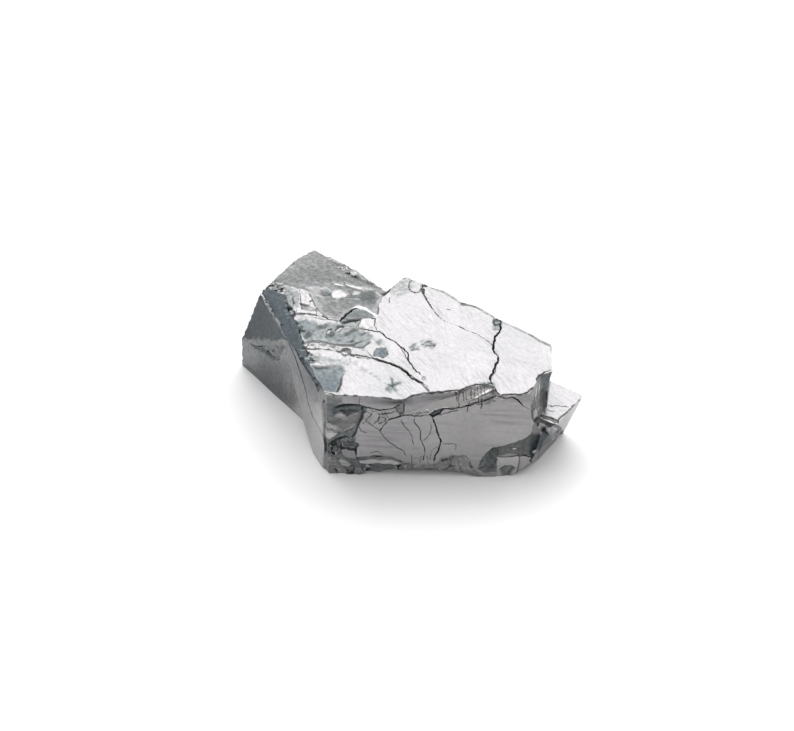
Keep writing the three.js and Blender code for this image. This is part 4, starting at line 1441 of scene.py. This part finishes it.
def refine(points, triangles):
    """Halves edges until they are short and the carved surface between their ends is straight."""
    moved = carve(points)
    for longest, shortest, tolerance in REFINING:
        edges, edge_of = edges_of(triangles)
        a, b = edges.T
        length = np.linalg.norm(points[a] - points[b], axis=1)
        middle = (points[a] + points[b]) / 2
        hidden = np.where(middle[:, 2] < UNDERSIDE, UNDERSIDE_COARSER, 1.0)
        carved = carve(middle)
        bend = np.linalg.norm(carved - (moved[a] + moved[b]) / 2, axis=1)
        wanted = (length > longest * hidden) | ((length > shortest) & (bend > tolerance * hidden))
        wanted |= (length > shortest * CRACK_SHORTEST) & (crack_distance(carved) < length / 2)
        if not wanted.any():
            continue
        triangles, marked = split(triangles, edge_of, wanted, length, len(points))
        points = np.concatenate([points, middle[marked]])
        moved = np.concatenate([moved, carved[marked]])
    return points, moved, triangles


def point_normals(points, triangles):
    a, b, c = (points[triangles[:, k]] for k in range(3))
    face = np.cross(b - a, c - a)
    normals = np.zeros_like(points)
    for k in range(3):
        np.add.at(normals, triangles[:, k], face)
    return normals / np.maximum(np.linalg.norm(normals, axis=1), TINY)[:, None]


def new_object(name, mesh, material):
    mesh.materials.append(material)
    piece = bpy.data.objects.new(name, mesh)
    bpy.context.scene.collection.objects.link(piece)
    return piece


SHARP_SHADING = math.radians(28)


def make_rock():
    reference, moved, triangles = refine(CAD_POINTS, CAD_TRIANGLES)
    mesh = bpy.data.meshes.new("shungite")
    mesh.from_pydata(((moved - SHIFT) * MM).tolist(), [], triangles.tolist())
    mesh.polygons.foreach_set("use_smooth", np.ones(len(mesh.polygons), bool))
    mesh.set_sharp_from_angle(angle=SHARP_SHADING)
    # tone holds the facets' painted shade and painted reflections with the rock's own tones; the second
    # attribute is painted shade in the cracks
    tone, crack_shade = tones(reference, point_normals(reference, triangles))
    mesh.attributes.new("crack_shade", "FLOAT", "POINT").data.foreach_set("value", crack_shade)
    mesh.attributes.new("tone", "FLOAT", "POINT").data.foreach_set("value", tone)
    rock = new_object("shungite", mesh, shungite_material())
    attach(rock, "root")
    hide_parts(NODE)


# ---------------------------------------------------------------- materials

class Nodes:
    """Short calls for building one material's node tree."""

    def __init__(self, tree):
        self.tree = tree
        tree.nodes.clear()

    def add(self, kind, inputs=None, **settings):
        node = self.tree.nodes.new(kind)
        for name, value in settings.items():
            setattr(node, name, value)
        for name, value in (inputs or {}).items():
            if isinstance(value, bpy.types.NodeSocket):
                self.tree.links.new(value, node.inputs[name])
            else:
                node.inputs[name].default_value = value
        return node

    def math(self, operation, *values):
        return self.add("ShaderNodeMath", dict(enumerate(values)), operation=operation).outputs[0]

    def vector(self, operation, a, b):
        """The arithmetic of two vectors, or of a vector and a number by which it is scaled."""
        second = "Scale" if operation == "SCALE" else 1
        result = "Value" if operation == "DOT_PRODUCT" else "Vector"
        return self.add("ShaderNodeVectorMath", {0: a, second: b}, operation=operation).outputs[result]

    def remap(self, value, low, high, to_low=0.0, to_high=1.0, **settings):
        """A value between low and high as one between to_low and to_high."""
        inputs = {"Value": value, 1: low, 2: high, 3: to_low, 4: to_high}
        return self.add("ShaderNodeMapRange", inputs, **settings).outputs[0]

    def noise(self, place, scale, detail=2.0):
        inputs = {"Vector": place, "Scale": scale, "Detail": detail}
        return self.add("ShaderNodeTexNoise", inputs).outputs["Fac"]

    def multiply(self, a, b):
        """One colour filtered by another."""
        inputs = {"Factor": 1.0, 6: a, 7: b}
        return self.add("ShaderNodeMix", inputs, data_type="RGBA", blend_type="MULTIPLY").outputs[2]

    def finish(self, inputs):
        """Ends a material with its shader."""
        shader = self.add("ShaderNodeBsdfPrincipled", inputs)
        self.add("ShaderNodeOutputMaterial", {"Surface": shader.outputs[0]})

    def ramp(self, factor, stops):
        node = self.add("ShaderNodeValToRGB", {"Fac": factor})
        elements = node.color_ramp.elements
        while len(elements) < len(stops):
            elements.new(0.5)
        for element, (place, colour) in zip(elements, stops):
            element.position = place
            element.color = (*colour, 1)
        return node.outputs["Color"]


# Fine parallel scratches: the direction they run in, how closely they lie, how dark they are, how
# closely their patches lie, and whether they lie on the facets that face up.
SCRATCHES = [
    ((0.55, -0.83, 0.0), 3400.0, 0.2, 150.0, True),
    ((0.15, -0.99, 0.0), 4000.0, 0.12, 190.0, True),
    ((0.92, -0.38, 0.0), 3400.0, 0.1, 230.0, True),
    ((1.0, 0.0, -0.06), 2600.0, 0.22, 270.0, False),
]
SCRATCH_PACE = 0.05             # the noise along a scratch, against 1 for across it
SCRATCH_RANGE = (0.52, 0.66)    # from here to there in the noise, nothing turns into a scratch
PATCH_RANGE = (0.4, 0.6)
BETWEEN_PATCHES = 0.1           # what is left of the scratches there
FACING_UP = (0.6, 0.8)

# Noises are a scale and a detail. Clouds and a speckle vary the tone.
CLOUD_NOISE = (180.0, 5.0)
CLOUD_SHARE = 0.3
CLOUD_LEAST = 0.85
SPECKLE_NOISE = (2000.0, 3.0)
SPECKLE_TONES = (0.8, 1.0)      # the speckle gets weaker between these tones
SPECKLE_STRENGTHS = (1.5, 0.3)
GRAIN_NOISE = (1500.0, 3.0)
GRAIN_STRENGTH = 0.08
GRAIN_HEIGHT = 0.0001
METALLIC = 0.9
SMOOTH_TONES = (0.3, 0.7)       # and the surface rougher between these
ROUGHNESSES = (0.12, 0.25)
TONE_SHARE = 0.5                # the base colours run up to a tone of 2
NOISE_MIDDLE = 0.5
BASE_COLOURS = [
    (0.0, (0.006, 0.008, 0.010)), (0.15, (0.06, 0.072, 0.08)), (0.3, (0.14, 0.148, 0.147)),
    (0.5, (0.25, 0.245, 0.25)), (0.8, (0.42, 0.41, 0.405)), (1.0, (0.55, 0.54, 0.53)),
]
# the painted shade in cracks, from none to nearly black
CRACK_SHADE_COLOURS = [(0.0, (1, 1, 1)), (1.0, (0.12, 0.12, 0.115))]
FLOOR_COLOUR = (0.92, 0.92, 0.93, 1)
FLOOR_ROUGHNESS = 0.6


def striations(n, place):
    """White, with thin dark lines in the directions of SCRATCHES, in patches."""
    facing = n.add("ShaderNodeTexCoord").outputs["Normal"]
    upward = n.add("ShaderNodeSeparateXYZ", {"Vector": facing}).outputs["Z"]
    on_top = n.remap(upward, *FACING_UP)
    on_side = n.math("SUBTRACT", 1.0, on_top)
    white = 1.0
    for direction, closeness, strength, patches, up in SCRATCHES:
        along = n.vector("SCALE", direction, n.vector("DOT_PRODUCT", place, direction))
        across = n.vector("SUBTRACT", place, along)
        stretched = n.vector("ADD", across, n.vector("SCALE", along, SCRATCH_PACE))
        dark = n.remap(n.noise(stretched, closeness), *SCRATCH_RANGE, 0.0, strength)
        shown = n.remap(n.noise(place, patches), *PATCH_RANGE, BETWEEN_PATCHES, 1.0)
        shown = n.math("MULTIPLY", shown, on_top if up else on_side)
        kept = n.math("SUBTRACT", 1.0, n.math("MULTIPLY", dark, shown))
        white = n.math("MULTIPLY", white, kept)
    return n.add("ShaderNodeCombineColor", {"Red": white, "Green": white, "Blue": white}).outputs[0]


def new_material(name):
    """An empty material, and the calls that fill its node tree."""
    material = bpy.data.materials.new(name)
    material.use_nodes = True
    return material, Nodes(material.node_tree)


def shungite_material():
    """Dark grey carbon with a metallic lustre: its tone, which holds painted shade and painted reflections
    besides the rock's own tones, and the painted shade in its cracks come with the mesh.
    """
    material, n = new_material("shungite")
    place = n.add("ShaderNodeTexCoord").outputs["Object"]
    crack_shade = n.add("ShaderNodeAttribute", attribute_name="crack_shade").outputs["Fac"]
    tone = n.add("ShaderNodeAttribute", attribute_name="tone").outputs["Fac"]
    clouds = n.math("MULTIPLY_ADD", n.noise(place, *CLOUD_NOISE), CLOUD_SHARE, CLOUD_LEAST)
    speckle = n.math("SUBTRACT", n.noise(place, *SPECKLE_NOISE), NOISE_MIDDLE)
    speckle = n.math("MULTIPLY", n.remap(tone, *SPECKLE_TONES, *SPECKLE_STRENGTHS), speckle)
    level = n.math("MULTIPLY", n.math("MULTIPLY", tone, clouds), n.math("ADD", 1.0, speckle))
    colour = n.ramp(n.math("MULTIPLY", level, TONE_SHARE), BASE_COLOURS)
    # painted shade darkens the cracks
    colour = n.multiply(colour, n.ramp(crack_shade, CRACK_SHADE_COLOURS))
    colour = n.multiply(colour, striations(n, place))
    grain = n.noise(place, *GRAIN_NOISE)
    bump = n.add("ShaderNodeBump", {"Height": grain, "Strength": GRAIN_STRENGTH, "Distance": GRAIN_HEIGHT})
    roughness = n.remap(tone, *SMOOTH_TONES, *ROUGHNESSES)
    n.finish({"Base Color": colour, "Roughness": roughness, "Metallic": METALLIC, "Normal": bump.outputs[0]})
    return material


def floor_material():
    material, n = new_material("floor")
    n.finish({"Base Color": FLOOR_COLOUR, "Roughness": FLOOR_ROUGHNESS})
    return material


# ---------------------------------------------------------------- stage and light

FLOOR_REACH = 1.5    # metres from the middle to each side


def make_floor():
    mesh = bpy.data.meshes.new("floor")
    corners = [(x * FLOOR_REACH, y * FLOOR_REACH, 0) for x, y in ((-1, -1), (1, -1), (1, 1), (-1, 1))]
    mesh.from_pydata(corners, [], [(0, 1, 2, 3)])
    floor = new_object("floor", mesh, floor_material())


# The studio's brightness by the sine of the elevation: walls and ceiling, dim on the camera's side,
# and a softbox that leans over the back. SOFTBOX_EDGES are sines to the right, and SOFTBOX_REAR and
# ROOM_TURN sines to the back.
ROOM = [(0.0, 0.8), (0.3, 1.2), (0.52, 1.2), (0.88, 1.1), (0.95, 1.8)]
SOFTBOX = [(0.3, 0.0), (0.5, 0.12), (0.57, 1.0), (0.85, 1.0), (0.9, 0.0)]
ROOM_FRONT = 0.5
SOFTBOX_STRENGTH = 2.9
SOFTBOX_EDGES = (0.4, 0.6)
SOFTBOX_REAR = (0.0, 0.2)
ROOM_TURN = (-0.3, 0.3)


def greys(stops):
    """A ramp's stops with their brightnesses as colours."""
    return [(place, (value, value, value)) for place, value in stops]


def make_light():
    world = bpy.data.worlds.new("studio")
    bpy.context.scene.world = world
    world.use_nodes = True
    n = Nodes(world.node_tree)
    soft = {"interpolation_type": "SMOOTHSTEP"}
    direction = n.add("ShaderNodeTexCoord").outputs["Generated"]
    right, back, up = n.add("ShaderNodeSeparateXYZ", {"Vector": direction}).outputs
    room = n.vector("SCALE", n.ramp(up, greys(ROOM)), n.remap(back, *ROOM_TURN, ROOM_FRONT, 1.0, **soft))
    inside = n.remap(n.math("ABSOLUTE", right), *SOFTBOX_EDGES, 1.0, 0.0, **soft)
    behind = n.remap(back, *SOFTBOX_REAR)
    strength = n.math("MULTIPLY", n.math("MULTIPLY", inside, behind), SOFTBOX_STRENGTH)
    softbox = n.vector("SCALE", n.ramp(up, greys(SOFTBOX)), strength)
    total = n.vector("ADD", room, softbox)
    background = n.add("ShaderNodeBackground", {"Color": total, "Strength": 1.0})
    n.add("ShaderNodeOutputWorld", {"Surface": background.outputs[0]})


bpy.context.scene.view_settings.view_transform = "Standard"
make_camera()
make_rock()
make_floor()
make_light()
